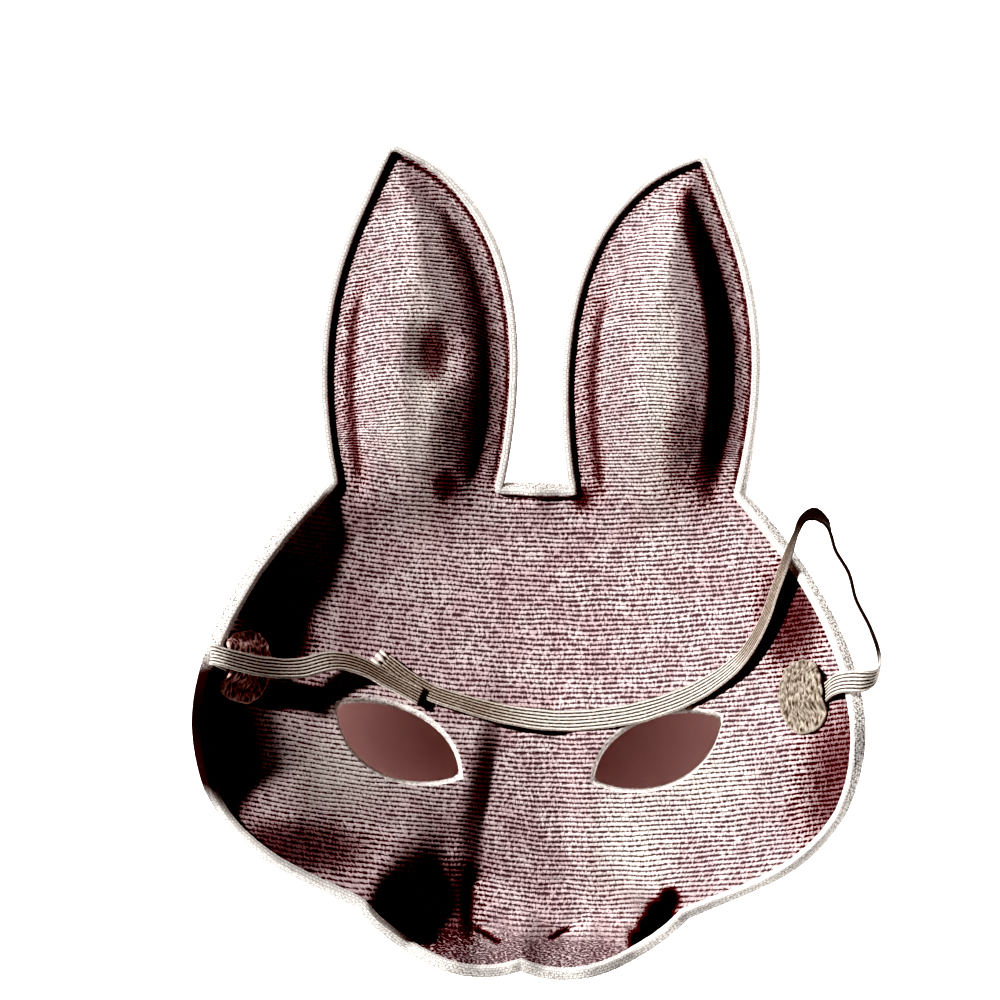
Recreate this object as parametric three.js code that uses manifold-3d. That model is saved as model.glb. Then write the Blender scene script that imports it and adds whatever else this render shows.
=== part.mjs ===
// A rabbit half mask of pressed, stiffened cloth, lying face down with its hollow upward.
// Millimetres. +Y runs from the lip to the ear tips, +X across the mask, +Z up out of the hollow.
// The origin is on the surface that the mask lies on, under the middle of its plan.
import * as THREE from "three";
import { mergeVertices } from "three/addons/utils/BufferGeometryUtils.js";
import Module from "manifold-3d";

// Cloth and clearances
const WALL = 1.4;
const WALL_CLEARANCE = 0.5; // to a piece that lies along the curved wall

// Half outline in plan, from the notch in the lip to the foot of the gap between the ears.
// Each row is one cubic curve that starts where the row before it ends.
const LIP_NOTCH_Y = -110.6;
const EAR_ROOT_Y = 20.4;
const OUTLINE = [
  { stretch: "lip", outX: 16.2, outY: -117.6, inX: 33.9, inY: -107.2, endX: 44.4, endY: -94.6 },
  { stretch: "jaw", outX: 61.3, outY: -86.6, inX: 77.6, inY: -82, endX: 86.2, endY: -64 },
  { stretch: "temple", outX: 97.7, outY: -32.8, inX: 77.8, inY: -0.8, endX: 56.2, endY: EAR_ROOT_Y },
  { stretch: "earOuter", outX: 63.6, outY: 59.6, inX: 59.5, inY: 79.4, endX: 43.4, endY: 112.4 },
  { stretch: "earTip", outX: 42.8, outY: 113, inX: 41.2, inY: 113, endX: 40.6, endY: 112.4 },
  { stretch: "earInner", outX: 4.8, outY: 100, inX: 3.6, inY: 53.2, endX: 10.3, endY: EAR_ROOT_Y },
];

// Eye hole in plan, on the +X side: an upper and a lower curve between its two corners
const EYE_INNER = { x: 18.5, y: -59.3 };
const EYE_OUTER = { x: 52.7, y: -40.7 };
const EYE_CURVES = {
  upper: { outX: 19.4, outY: -43.7, inX: 39.6, inY: -36.6 },
  lower: { outX: 50.6, outY: -58, inX: 33.9, inY: -65.1 },
};
const EYE_STEPS = 12;

// Sections of the middle surface across the mask, from the lip to the ear tips.
// keel is the height on the midline, floor the height beside the nose strip, cheek the height
// beside the muzzle, and nose and muzzle the half widths of the two strips.
const SECTIONS = [
  { y: -116, keel: 18, floor: 21, cheek: 36, nose: 15, muzzle: 38 },
  { y: -105, keel: 6, floor: 9, cheek: 30, nose: 15, muzzle: 38 },
  { y: -97, keel: 0.6, floor: 4, cheek: 25, nose: 15, muzzle: 37 },
  { y: -88, keel: 1.5, floor: 5.5, cheek: 19, nose: 15, muzzle: 33 },
  { y: -75, keel: 6.5, floor: 11, cheek: 15, nose: 15, muzzle: 26 },
  { y: -60, keel: 10.5, floor: 16, cheek: 16, nose: 13, muzzle: 22 },
  { y: -48, keel: 12, floor: 16.5, cheek: 16.5, nose: 11, muzzle: 20 },
  { y: -38, keel: 10.5, floor: 12.5, cheek: 12.5, nose: 10, muzzle: 20 },
  { y: -25, keel: 6, floor: 6.5, cheek: 6.5, nose: 10, muzzle: 20 },
  { y: -10, keel: 1.8, floor: 1.8, cheek: 1.8, nose: 10, muzzle: 20 },
  { y: 3, keel: 0.2, floor: 0.2, cheek: 0.2, nose: 10, muzzle: 20 },
  { y: 12, keel: 1.6, floor: 1.6, cheek: 1.6, nose: 10, muzzle: 20 },
  { y: 21, keel: 5.5, floor: 5.5, cheek: 5.5, nose: 10, muzzle: 20 },
  { y: 40, keel: 9.5, floor: 9.5, cheek: 9.5, nose: 10, muzzle: 20 },
  { y: 60, keel: 10.5, floor: 10.5, cheek: 10.5, nose: 10, muzzle: 20 },
  { y: 80, keel: 10.5, floor: 10.5, cheek: 10.5, nose: 10, muzzle: 20 },
  { y: 100, keel: 11.5, floor: 11.5, cheek: 11.5, nose: 10, muzzle: 20 },
  { y: 116, keel: 14, floor: 14, cheek: 14, nose: 10, muzzle: 20 },
];
const NOSE_SLOPE = 8; // widths of the slopes beside the two strips
const MUZZLE_SLOPE = 17;

// The sides rise as an ellipse quarter, and less so in the ears
const SIDE_RISE = 72;
const SIDE_REACH = 95;
const SIDE_REACH_LIMIT = 0.99;
const EAR_FLATTENING = { share: 0.7, fromY: 8, toY: 44 };

// Round swellings and dents of the wall: centre, half sizes and height towards the wearer.
// The first three are on both sides.
const PUFF = { x: 17, y: -96, halfX: 17, halfY: 15, height: -4 };
const EYE_SOCKET = { x: 36, y: -50, halfX: 25, halfY: 17, height: 2 };
const CHEEK_EDGE = { x: 98, y: -66, halfX: 38, halfY: 30, height: -13 };
const EAR_SAG = { x: -31, y: 66, halfX: 22, halfY: 56, height: -4 };
const EAR_DENT = { x: -29, y: 56, halfX: 11, halfY: 14, height: -3.5 };
const TEMPLE_CURL = { x: -88, y: 8, halfX: 34, halfY: 32, height: 12 };
const LIP_CLEFT = { halfX: 4, fromY: -94, toY: -108, height: 4 };

// The inner ear swells towards the wearer, inside a flat band along the ear's edge
const EAR_BULGE = { height: 15.5, band: 4, run: 18, rounding: 1.3, fromY: 4, toY: 46 };
const EAR_EDGE_STEPS = 24;

// Mesh of one half of the shell
const GAP_COLUMNS = 3;
const EAR_COLUMNS = 13;
const FACE_ROWS = 26;
const EAR_ROWS = 20;
const COLUMN_GRADING = 0.5; // share of cosine spacing, which is finer towards an edge
const SLOPE_STEP = 0.25;

// Folded tape round the edge, with a raised roll on the inner side
const TAPE = 0.7;
const TAPE_CLEARANCE = 0.4;
const ROLL = { ear: 1.4, lip: 0.8 };
const LEG = { lip: 0.9, temple: 1.6, ear: 1.2, tip: 0.8 };
const LIP_TRIM = { fromY: -66, toY: -30 };
const EAR_TRIM = { fromY: 12, toY: 28 };
const TIP_TRIM = { fromY: 98, toY: 110 };
const ROLL_ROUNDING = 0.7;
const TAPE_ROUNDING = 0.5;
const TRIM_STEP = 1; // closer points along the edge are passed over
const TRIM_INSET = 1.3; // where the tape takes the wall's slope

// Round cloth patches. turn is how far the strap below heads up the mask, in degrees.
const PATCH = { radius: 10, thickness: 1.2, rings: 4, sectors: 24 };
const PATCH_PLACES = [
  { name: "patch_left", x: -78.4, y: -31.1, turn: 11 },
  { name: "patch_right", x: 75.8, y: -34.4, turn: 19 },
];
const PATCH_TUNNEL = { rise: 2.3, flat: 3.7, foot: 6.8, fromOut: -7, toOut: 3 };

// Flat elastic, as a section and two routes.
// side is the plan angle of the strap's width and tilt its angle above the level, in degrees.
const STRAP = { width: 6, thickness: 0.9, rounding: 0.25, step: 3.6 };
const SHORT_ROUTE = [
  { x: -77.8, y: -31.3, z: 43.1, side: 94, tilt: -23 },
  { x: -79.9, y: -30.6, z: 45.2, side: 94, tilt: -22 },
  { x: -82, y: -29.9, z: 47.5, side: 94, tilt: -21 },
  { x: -83, y: -29.4, z: 49.9, side: 94, tilt: -20 },
  { x: -83.4, y: -28.8, z: 52.8, side: 95, tilt: -20 },
  { x: -84.8, y: -28.2, z: 55.9, side: 94, tilt: -22 },
  { x: -86.4, y: -27.4, z: 58.7, side: 93, tilt: -25 },
  { x: -86, y: -27.4, z: 61.1, side: 92, tilt: -28 },
  { x: -83.2, y: -28.1, z: 60.7, side: 91, tilt: -30 },
  { x: -78.6, y: -29.3, z: 55.6, side: 90, tilt: -32 },
  { x: -71.5, y: -30.6, z: 45.6, side: 92, tilt: -33 },
  { x: -63.2, y: -30.7, z: 36.6, side: 97, tilt: -35 },
  { x: -53.7, y: -28.5, z: 29, side: 84, tilt: -40 },
  { x: -46.8, y: -29.7, z: 25.2, side: 68, tilt: -46 },
  { x: -38.6, y: -33.7, z: 22.4, side: 62, tilt: -48 },
  { x: -29.8, y: -37.9, z: 21.4, side: 62, tilt: -42 },
];
const LONG_ROUTE = [
  { x: -40.2, y: -28.6, z: 17.4, side: 52, tilt: -38 },
  { x: -33.8, y: -33, z: 17.7, side: 60, tilt: -42 },
  { x: -26.7, y: -36.7, z: 17.7, side: 68, tilt: -42 },
  { x: -18, y: -39.3, z: 17.2, side: 71, tilt: -39 },
  { x: -9, y: -41.5, z: 16, side: 76, tilt: -32 },
  { x: 1, y: -42.9, z: 15.6, side: 85, tilt: -24 },
  { x: 10, y: -43.2, z: 16.5, side: 92, tilt: -20 },
  { x: 22.4, y: -41.8, z: 19.3, side: 97, tilt: -22 },
  { x: 33.3, y: -39.2, z: 21.3, side: 104, tilt: -25 },
  { x: 46.9, y: -33.2, z: 23.3, side: 116, tilt: -36 },
  { x: 57.4, y: -24.8, z: 25.9, side: 130, tilt: -56 },
  { x: 63.6, y: -14.2, z: 27.2, side: 150, tilt: -66 },
  { x: 66.2, y: -6, z: 28.3, side: 160, tilt: -69 },
  { x: 68.7, y: 1.7, z: 30.5, side: 163, tilt: -72 },
  { x: 70.1, y: 6, z: 32.1, side: 163, tilt: -76 },
  { x: 71.5, y: 10.4, z: 32.9, side: 163, tilt: -84 },
  { x: 73.4, y: 14.6, z: 33, side: 163, tilt: -90 },
  { x: 76.2, y: 15.9, z: 33.2, side: 163, tilt: -90 },
  { x: 79.2, y: 14, z: 33.8, side: 163, tilt: -90 },
  { x: 80.9, y: 10.6, z: 34.8, side: 163, tilt: -90 },
  { x: 82.4, y: 6.2, z: 36.6, side: 163, tilt: -90 },
  { x: 86, y: 0.2, z: 39.6, side: 270, tilt: -90 },
  { x: 88.2, y: -7, z: 44, side: 270, tilt: -90 },
  { x: 92, y: -14.4, z: 49, side: 270, tilt: -90 },
  { x: 94.2, y: -20.5, z: 54, side: 270, tilt: -88 },
  { x: 94.6, y: -25, z: 58, side: 270, tilt: -72 },
  { x: 93.2, y: -27.8, z: 61, side: 270, tilt: -42 },
  { x: 90.2, y: -28.8, z: 62, side: 269, tilt: -10 },
  { x: 87.4, y: -29, z: 60.6, side: 268, tilt: 12 },
  { x: 85.2, y: -29.3, z: 57.6, side: 268, tilt: 20 },
  { x: 83.7, y: -29.8, z: 55, side: 268, tilt: 22 },
  { x: 82.6, y: -30.4, z: 52.4, side: 268, tilt: 24 },
  { x: 81.6, y: -31.3, z: 49.7, side: 269, tilt: 25 },
  { x: 80.6, y: -32.5, z: 46.9, side: 269, tilt: 25 },
  { x: 78.3, y: -33.5, z: 44.4, side: 267, tilt: 23 },
  { x: 76, y: -34.3, z: 42.2, side: 266, tilt: 23 },
];

const UP = new THREE.Vector3(0, 0, 1);
const wasm = await Module();
wasm.setup();

// Share of the way from one value to another, eased at both ends
const eased = (from, to, value) => {
  const share = THREE.MathUtils.clamp((value - from) / (to - from), 0, 1);
  return share * share * (3 - 2 * share);
};

const cubic = (fromX, fromY, row, toX, toY) =>
  new THREE.CubicBezierCurve(
    new THREE.Vector2(fromX, fromY),
    new THREE.Vector2(row.outX, row.outY),
    new THREE.Vector2(row.inX, row.inY),
    new THREE.Vector2(toX, toY),
  );

// Outline curves by the name of their stretch
const outline = {};
OUTLINE.forEach((row, i) => {
  const before = OUTLINE[i - 1] ?? { endX: 0, endY: LIP_NOTCH_Y };
  outline[row.stretch] = cubic(before.endX, before.endY, row, row.endX, row.endY);
});
const bottomEdge = new THREE.CurvePath();
bottomEdge.add(outline.lip);
bottomEdge.add(outline.jaw);
const earRootOuterX = outline.earOuter.v0.x;
const earRootInnerX = outline.earInner.v3.x;
const gapShare = earRootInnerX / earRootOuterX;

// One column of the section table at a place along the mask, by a cubic through its rows
function sectionValue(column, y) {
  const last = SECTIONS.length - 2;
  const found = SECTIONS.findIndex((row, i) => i > last || y < SECTIONS[i + 1].y);
  const i = Math.min(found, last);
  const slopeAt = (k) => {
    const low = SECTIONS[Math.max(k - 1, 0)];
    const high = SECTIONS[Math.min(k + 1, last + 1)];
    return (high[column] - low[column]) / (high.y - low.y);
  };
  const from = SECTIONS[i];
  const to = SECTIONS[i + 1];
  const span = to.y - from.y;
  const t = THREE.MathUtils.clamp((y - from.y) / span, 0, 1);
  const rise = t * t * (3 - 2 * t);
  const leave = t * (1 - t) * (1 - t);
  const arrive = t * t * (t - 1);
  const curve = from[column] + (to[column] - from[column]) * rise;
  return curve + span * (leave * slopeAt(i) + arrive * slopeAt(i + 1));
}

// Height of a round swelling that fades out at its half sizes
function swelling(form, x, y) {
  const across = (x - form.x) / form.halfX;
  const along = (y - form.y) / form.halfY;
  const rest = Math.max(0, 1 - across * across - along * along);
  return form.height * rest * rest;
}

// Distance in plan to the edge of the +X ear
const earEdge = ["earOuter", "earTip", "earInner"].flatMap((name) =>
  outline[name].getPoints(EAR_EDGE_STEPS),
);
function earEdgeDistance(x, y) {
  const point = new THREE.Vector3(x, y, 0);
  const nearest = new THREE.Vector3();
  const segment = new THREE.Line3();
  let best = Infinity;
  for (let i = 0; i + 1 < earEdge.length; i += 1) {
    segment.start.set(earEdge[i].x, earEdge[i].y, 0);
    segment.end.set(earEdge[i + 1].x, earEdge[i + 1].y, 0);
    segment.closestPointToPoint(point, true, nearest);
    best = Math.min(best, nearest.distanceTo(point));
  }
  return best;
}

function earBulge(x, y) {
  const share = THREE.MathUtils.clamp((earEdgeDistance(x, y) - EAR_BULGE.band) / EAR_BULGE.run, 0, 1);
  const dome = 1 - (1 - share) ** EAR_BULGE.rounding;
  return EAR_BULGE.height * dome * eased(EAR_BULGE.fromY, EAR_BULGE.toY, y);
}

function lipCleft(x, y) {
  const ridge = Math.exp(-((x / LIP_CLEFT.halfX) ** 2));
  return LIP_CLEFT.height * ridge * eased(LIP_CLEFT.fromY, LIP_CLEFT.toY, y);
}

// Height of the wall's middle surface, which the surface below flattens where the mask rests
function heightAt(x, y) {
  const side = Math.abs(x);
  const keel = sectionValue("keel", y);
  const floor = sectionValue("floor", y);
  const fromNose = side - sectionValue("nose", y);
  const fromMuzzle = side - sectionValue("muzzle", y);
  const besideNose = (floor - keel) * eased(-NOSE_SLOPE / 2, NOSE_SLOPE / 2, fromNose);
  const rise = sectionValue("cheek", y) - floor;
  const middle = keel + besideNose + rise * eased(-MUZZLE_SLOPE / 2, MUZZLE_SLOPE / 2, fromMuzzle);
  const reach = Math.min(side / SIDE_REACH, SIDE_REACH_LIMIT);
  const flattening = EAR_FLATTENING.share * eased(EAR_FLATTENING.fromY, EAR_FLATTENING.toY, y);
  const bowl = SIDE_RISE * (1 - Math.sqrt(1 - reach * reach)) * (1 - flattening);
  const paired = [PUFF, EYE_SOCKET, CHEEK_EDGE].map((form) => swelling(form, side, y));
  const single = [EAR_SAG, EAR_DENT, TEMPLE_CURL].map((form) => swelling(form, x, y));
  const forms = [...paired, ...single].reduce((sum, value) => sum + value, 0);
  return Math.max(WALL / 2, middle + bowl + forms + lipCleft(x, y) + earBulge(side, y));
}

// Direction out of the wall towards the wearer
function normalAt(x, y) {
  const slopeX = (heightAt(x + SLOPE_STEP, y) - heightAt(x - SLOPE_STEP, y)) / (2 * SLOPE_STEP);
  const slopeY = (heightAt(x, y + SLOPE_STEP) - heightAt(x, y - SLOPE_STEP)) / (2 * SLOPE_STEP);
  return new THREE.Vector3(-slopeX, -slopeY, 1).normalize();
}

// A point at a distance from the middle surface
function offWall(x, y, distance) {
  return new THREE.Vector3(x, y, heightAt(x, y)).addScaledVector(normalAt(x, y), distance);
}

// A point of the +X half of the face, between its midline, lower edge, side and top
function facePoint(across, along) {
  const low = bottomEdge.getPoint(across);
  const high = new THREE.Vector2(across * earRootOuterX, EAR_ROOT_Y);
  const middle = new THREE.Vector2(0, THREE.MathUtils.lerp(LIP_NOTCH_Y, EAR_ROOT_Y, along));
  const side = outline.temple.getPointAt(along);
  const lowSide = outline.temple.v0;
  const highSide = outline.temple.v3;
  const blended = (axis, lowMiddle, highMiddle) => {
    const between = (1 - along) * low[axis] + along * high[axis];
    const beside = (1 - across) * middle[axis] + across * side[axis];
    const lowCorner = (1 - across) * lowMiddle + across * lowSide[axis];
    const highCorner = (1 - across) * highMiddle + across * highSide[axis];
    return between + beside - (1 - along) * lowCorner - along * highCorner;
  };
  return new THREE.Vector2(blended("x", 0, 0), blended("y", LIP_NOTCH_Y, EAR_ROOT_Y));
}

// A point of the +X ear, between its inner and outer edges
function earPoint(across, along) {
  const inner = outline.earInner.getPointAt(1 - along);
  return inner.lerp(outline.earOuter.getPointAt(along), across);
}

const earShares = Array.from({ length: EAR_COLUMNS + 1 }, (_, i) => {
  const even = i / EAR_COLUMNS;
  const graded = (1 - Math.cos(Math.PI * even)) / 2;
  return THREE.MathUtils.lerp(even, graded, COLUMN_GRADING);
});
const gapShares = Array.from({ length: GAP_COLUMNS }, (_, i) => (gapShare * i) / GAP_COLUMNS);
const faceShares = [...gapShares, ...earShares.map((share) => gapShare + (1 - gapShare) * share)];

// Plan of both halves as shared points and four-sided cells that turn anticlockwise
function planMesh() {
  const points = [];
  const cells = [];
  const indexOf = new Map();
  const corner = (point) => {
    const key = `${point.x.toFixed(3)} ${point.y.toFixed(3)}`;
    if (!indexOf.has(key)) {
      indexOf.set(key, points.length);
      points.push(point);
    }
    return indexOf.get(key);
  };
  const addGrid = (place, shares, rows, mirror) => {
    const at = (i, j) => {
      const point = place(shares[i], j / rows);
      return corner(new THREE.Vector2(mirror * Math.max(point.x, 0), point.y));
    };
    for (let j = 0; j < rows; j += 1) {
      for (let i = 0; i + 1 < shares.length; i += 1) {
        const cell = [at(i, j), at(i + 1, j), at(i + 1, j + 1), at(i, j + 1)];
        cells.push(mirror > 0 ? cell : cell.reverse());
      }
    }
  };
  for (const mirror of [1, -1]) {
    addGrid(facePoint, faceShares, FACE_ROWS, mirror);
    addGrid(earPoint, earShares, EAR_ROWS, mirror);
  }
  return { points, cells };
}

// Plan points round the outer edge, in order and anticlockwise
function edgeLoop({ points, cells }) {
  const next = new Map();
  for (const cell of cells) {
    cell.forEach((from, i) => next.set(`${from} ${cell[(i + 1) % cell.length]}`, true));
  }
  const follow = new Map();
  for (const key of next.keys()) {
    const [from, to] = key.split(" ");
    if (!next.has(`${to} ${from}`)) follow.set(Number(from), Number(to));
  }
  const [first] = follow.keys();
  const loop = [];
  let at = first;
  do {
    loop.push(at);
    at = follow.get(at);
  } while (at !== first);
  return loop.map((i) => ({ index: i, point: points[i] }));
}

function geometryOf(corners, triangles) {
  const geometry = new THREE.BufferGeometry().setFromPoints(corners);
  geometry.setIndex(triangles);
  geometry.computeVertexNormals();
  return geometry;
}

function solidOf(source) {
  const bare = source.clone();
  bare.deleteAttribute("normal");
  bare.deleteAttribute("uv");
  const merged = mergeVertices(bare);
  const vertProperties = new Float32Array(merged.attributes.position.array);
  const triVerts = new Uint32Array(merged.index.array);
  return new wasm.Manifold(new wasm.Mesh({ numProp: 3, vertProperties, triVerts }));
}

function geometryOfSolid(solid) {
  const mesh = solid.getMesh();
  const geometry = new THREE.BufferGeometry();
  geometry.setAttribute("position", new THREE.BufferAttribute(mesh.vertProperties, 3));
  geometry.setIndex(new THREE.BufferAttribute(mesh.triVerts, 1));
  geometry.computeVertexNormals();
  return geometry;
}

// Cloth wall over a plan: an inner and an outer face, and a rim between them
function wallGeometry(plan, loop) {
  const inner = plan.points.map((p) => offWall(p.x, p.y, WALL / 2));
  const outer = plan.points.map((p) => offWall(p.x, p.y, -WALL / 2));
  const below = inner.length;
  const triangles = [];
  // A cell is split along the diagonal that lies closer to the surface
  const sag = (from, to) => {
    const [p, q] = [plan.points[from], plan.points[to]];
    const chord = (heightAt(p.x, p.y) + heightAt(q.x, q.y)) / 2;
    return Math.abs(heightAt((p.x + q.x) / 2, (p.y + q.y) / 2) - chord);
  };
  for (const cell of plan.cells) {
    const [a, b, c, d] = cell;
    const [e, f, g, h] = sag(a, c) < sag(b, d) ? [a, b, c, d] : [b, c, d, a];
    triangles.push(e, f, g, e, g, h);
    triangles.push(below + e, below + g, below + f, below + e, below + h, below + g);
  }
  loop.forEach(({ index: from }, i) => {
    const to = loop[(i + 1) % loop.length].index;
    triangles.push(from, below + from, below + to, from, below + to, to);
  });
  return geometryOf([...inner, ...outer], triangles);
}

// Upright prism through one eye hole
function eyePrism(mirror) {
  const { upper, lower } = EYE_CURVES;
  const across = (row) => ({ ...row, outX: mirror * row.outX, inX: mirror * row.inX });
  const top = cubic(mirror * EYE_INNER.x, EYE_INNER.y, across(upper), mirror * EYE_OUTER.x, EYE_OUTER.y);
  const foot = cubic(mirror * EYE_OUTER.x, EYE_OUTER.y, across(lower), mirror * EYE_INNER.x, EYE_INNER.y);
  const rim = [...top.getPoints(EYE_STEPS).slice(0, -1), ...foot.getPoints(EYE_STEPS).slice(0, -1)];
  const depth = 2 * SIDE_RISE;
  const prism = new THREE.ExtrudeGeometry(new THREE.Shape(rim), { depth, bevelEnabled: false });
  return prism.translate(0, 0, -SIDE_RISE);
}

function shellGeometry(plan, loop) {
  const wall = solidOf(wallGeometry(plan, loop));
  const holes = solidOf(eyePrism(1)).add(solidOf(eyePrism(-1)));
  return geometryOfSolid(wall.subtract(holes));
}

// Skin over rings of points, closed on itself or with a cap at each end
function sweepGeometry(rings, closed) {
  const sides = rings[0].length;
  const triangles = [];
  const spans = closed ? rings.length : rings.length - 1;
  for (let i = 0; i < spans; i += 1) {
    const here = i * sides;
    const there = ((i + 1) % rings.length) * sides;
    for (let j = 0; j < sides; j += 1) {
      const k = (j + 1) % sides;
      triangles.push(here + j, here + k, there + j, here + k, there + k, there + j);
    }
  }
  if (!closed) {
    const end = (rings.length - 1) * sides;
    for (let j = 1; j + 1 < sides; j += 1) {
      triangles.push(0, j + 1, j, end, end + j, end + j + 1);
    }
  }
  return geometryOf(rings.flat(), triangles);
}

// Section of the folded tape: distance outward from the wall's edge, and out of the wall
function tapeSection(y) {
  const face = eased(LIP_TRIM.fromY, LIP_TRIM.toY, y);
  const ear = eased(EAR_TRIM.fromY, EAR_TRIM.toY, y);
  const tip = eased(TIP_TRIM.fromY, TIP_TRIM.toY, y);
  const faceLeg = THREE.MathUtils.lerp(LEG.lip, LEG.temple, face);
  const leg = THREE.MathUtils.lerp(THREE.MathUtils.lerp(faceLeg, LEG.ear, ear), LEG.tip, tip);
  const inside = WALL / 2 + TAPE_CLEARANCE;
  const outside = inside + TAPE;
  const edge = TAPE_CLEARANCE + TAPE;
  const top = inside + THREE.MathUtils.lerp(ROLL.lip, ROLL.ear, face);
  return [
    [-leg, -inside],
    [TAPE_CLEARANCE, -inside],
    [TAPE_CLEARANCE, inside],
    [-leg, inside],
    [-leg + ROLL_ROUNDING, top],
    [edge - ROLL_ROUNDING, top],
    [edge, inside],
    [edge, -outside + TAPE_ROUNDING],
    [edge - TAPE_ROUNDING, -outside],
    [-leg, -outside],
  ];
}

function bindingGeometry(loop) {
  const points = loop.map((corner) => corner.point);
  const stations = points.filter((point, i) => {
    const before = points.at(i - 1);
    const after = points[(i + 1) % points.length];
    return Math.max(point.distanceTo(before), point.distanceTo(after)) > TRIM_STEP;
  });
  const count = stations.length;
  const rings = stations.map((point, i) => {
    const before = stations[(i + count - 1) % count];
    const after = stations[(i + 1) % count];
    const lift = (p) => new THREE.Vector3(p.x, p.y, heightAt(p.x, p.y));
    const along = lift(after).sub(lift(before)).normalize();
    const inward = new THREE.Vector2(before.y - after.y, after.x - before.x).normalize();
    const within = inward.multiplyScalar(TRIM_INSET).add(point);
    const outward = new THREE.Vector3().crossVectors(along, normalAt(within.x, within.y)).normalize();
    const offCloth = new THREE.Vector3().crossVectors(outward, along);
    return tapeSection(point.y).map(([out, off]) =>
      lift(point).addScaledVector(outward, out).addScaledVector(offCloth, off),
    );
  });
  return sweepGeometry(rings, true);
}

// Round patch on the side wall, raised in a tunnel over the end of the strap
function patchGeometry(place) {
  const { radius, thickness, rings, sectors } = PATCH;
  const mirror = Math.sign(place.x);
  const lean = normalAt(place.x, place.y).dot(UP);
  const turn = THREE.MathUtils.degToRad(place.turn);
  const faces = { low: [], high: [] };
  for (let i = 0; i <= rings; i += 1) {
    for (let j = 0; j < sectors; j += 1) {
      const angle = (mirror * 2 * Math.PI * j) / sectors;
      const out = (radius * i * Math.cos(angle)) / rings;
      const along = (radius * i * Math.sin(angle)) / rings;
      const ahead = out * Math.cos(turn) + along * Math.sin(turn);
      const aside = along * Math.cos(turn) - out * Math.sin(turn);
      const beside = 1 - eased(PATCH_TUNNEL.flat, PATCH_TUNNEL.foot, Math.abs(aside));
      const under = eased(PATCH_TUNNEL.fromOut, PATCH_TUNNEL.toOut, ahead);
      const seat = WALL / 2 + WALL_CLEARANCE + PATCH_TUNNEL.rise * beside * under;
      const x = place.x + mirror * out * lean;
      const y = place.y + along;
      faces.low.push(offWall(x, y, seat));
      faces.high.push(offWall(x, y, seat + thickness));
    }
  }
  const above = (rings + 1) * sectors;
  const triangles = [];
  for (let i = 0; i < rings; i += 1) {
    for (let j = 0; j < sectors; j += 1) {
      const k = (j + 1) % sectors;
      const [a, b, c, d] = [i * sectors + j, i * sectors + k, (i + 1) * sectors + k, (i + 1) * sectors + j];
      if (i > 0) triangles.push(a, b, c, above + a, above + c, above + b);
      triangles.push(a, c, d, above + a, above + d, above + c);
    }
  }
  for (let j = 0; j < sectors; j += 1) {
    const from = rings * sectors + j;
    const to = rings * sectors + ((j + 1) % sectors);
    triangles.push(from, to, above + to, from, above + to, above + from);
  }
  const drawn = geometryOf([...faces.low, ...faces.high], triangles);
  drawn.deleteAttribute("normal");
  return mergeVertices(drawn);
}

// Flat strap along a route, with its width turned as the rows say
function strapGeometry(route) {
  const curve = new THREE.CatmullRomCurve3(route.map((row) => new THREE.Vector3(row.x, row.y, row.z)));
  const widths = route.map((row) => {
    const side = THREE.MathUtils.degToRad(row.side);
    const tilt = THREE.MathUtils.degToRad(row.tilt);
    return new THREE.Vector3(Math.cos(side) * Math.cos(tilt), Math.sin(side) * Math.cos(tilt), Math.sin(tilt));
  });
  const steps = Math.round(curve.getLength() / STRAP.step);
  const halfWidth = STRAP.width / 2;
  const halfThickness = STRAP.thickness / 2;
  const flat = halfWidth - STRAP.rounding;
  const flank = halfThickness - STRAP.rounding;
  const section = [
    [halfWidth, -flank],
    [halfWidth, flank],
    [flat, halfThickness],
    [-flat, halfThickness],
    [-halfWidth, flank],
    [-halfWidth, -flank],
    [-flat, -halfThickness],
    [flat, -halfThickness],
  ];
  const rings = Array.from({ length: steps + 1 }, (_, i) => {
    const share = curve.getUtoTmapping(i / steps);
    const place = share * (route.length - 1);
    const row = Math.min(Math.floor(place), route.length - 2);
    const centre = curve.getPoint(share);
    const along = curve.getTangent(share);
    const width = widths[row].clone().lerp(widths[row + 1], place - row);
    width.addScaledVector(along, -width.dot(along)).normalize();
    const face = new THREE.Vector3().crossVectors(along, width);
    return section.map(([across, off]) =>
      centre.clone().addScaledVector(width, across).addScaledVector(face, off),
    );
  });
  return sweepGeometry(rings, false);
}

const cloth = { roughness: 0.9, metalness: 0 };
const materials = {
  shell: new THREE.MeshStandardMaterial({ color: 0xb79a93, ...cloth }),
  tape: new THREE.MeshStandardMaterial({ color: 0xf1ebe4, ...cloth }),
  felt: new THREE.MeshStandardMaterial({ color: 0xa8967c, ...cloth }),
  elastic: new THREE.MeshStandardMaterial({ color: 0xe6dccb, ...cloth }),
};

const mask = new THREE.Group();
function addPiece(name, geometry, material) {
  const piece = new THREE.Mesh(geometry, material);
  piece.name = name;
  mask.add(piece);
}

const plan = planMesh();
const loop = edgeLoop(plan);
addPiece("mask_shell", shellGeometry(plan, loop), materials.shell);
addPiece("edge_binding", bindingGeometry(loop), materials.tape);
PATCH_PLACES.forEach((place) => addPiece(place.name, patchGeometry(place), materials.felt));
addPiece("strap_short", strapGeometry(SHORT_ROUTE), materials.elastic);
addPiece("strap_long", strapGeometry(LONG_ROUTE), materials.elastic);

export default mask;
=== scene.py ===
"""Looks of the rabbit mask, which lies face down with its hollow towards the camera.

Sizes are in millimetres in the part's own frame: +X across the mask, +Y from the lip to the ear
tips, +Z up out of the hollow. Each piece becomes metres when its mesh is made.
"""
import math

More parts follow.
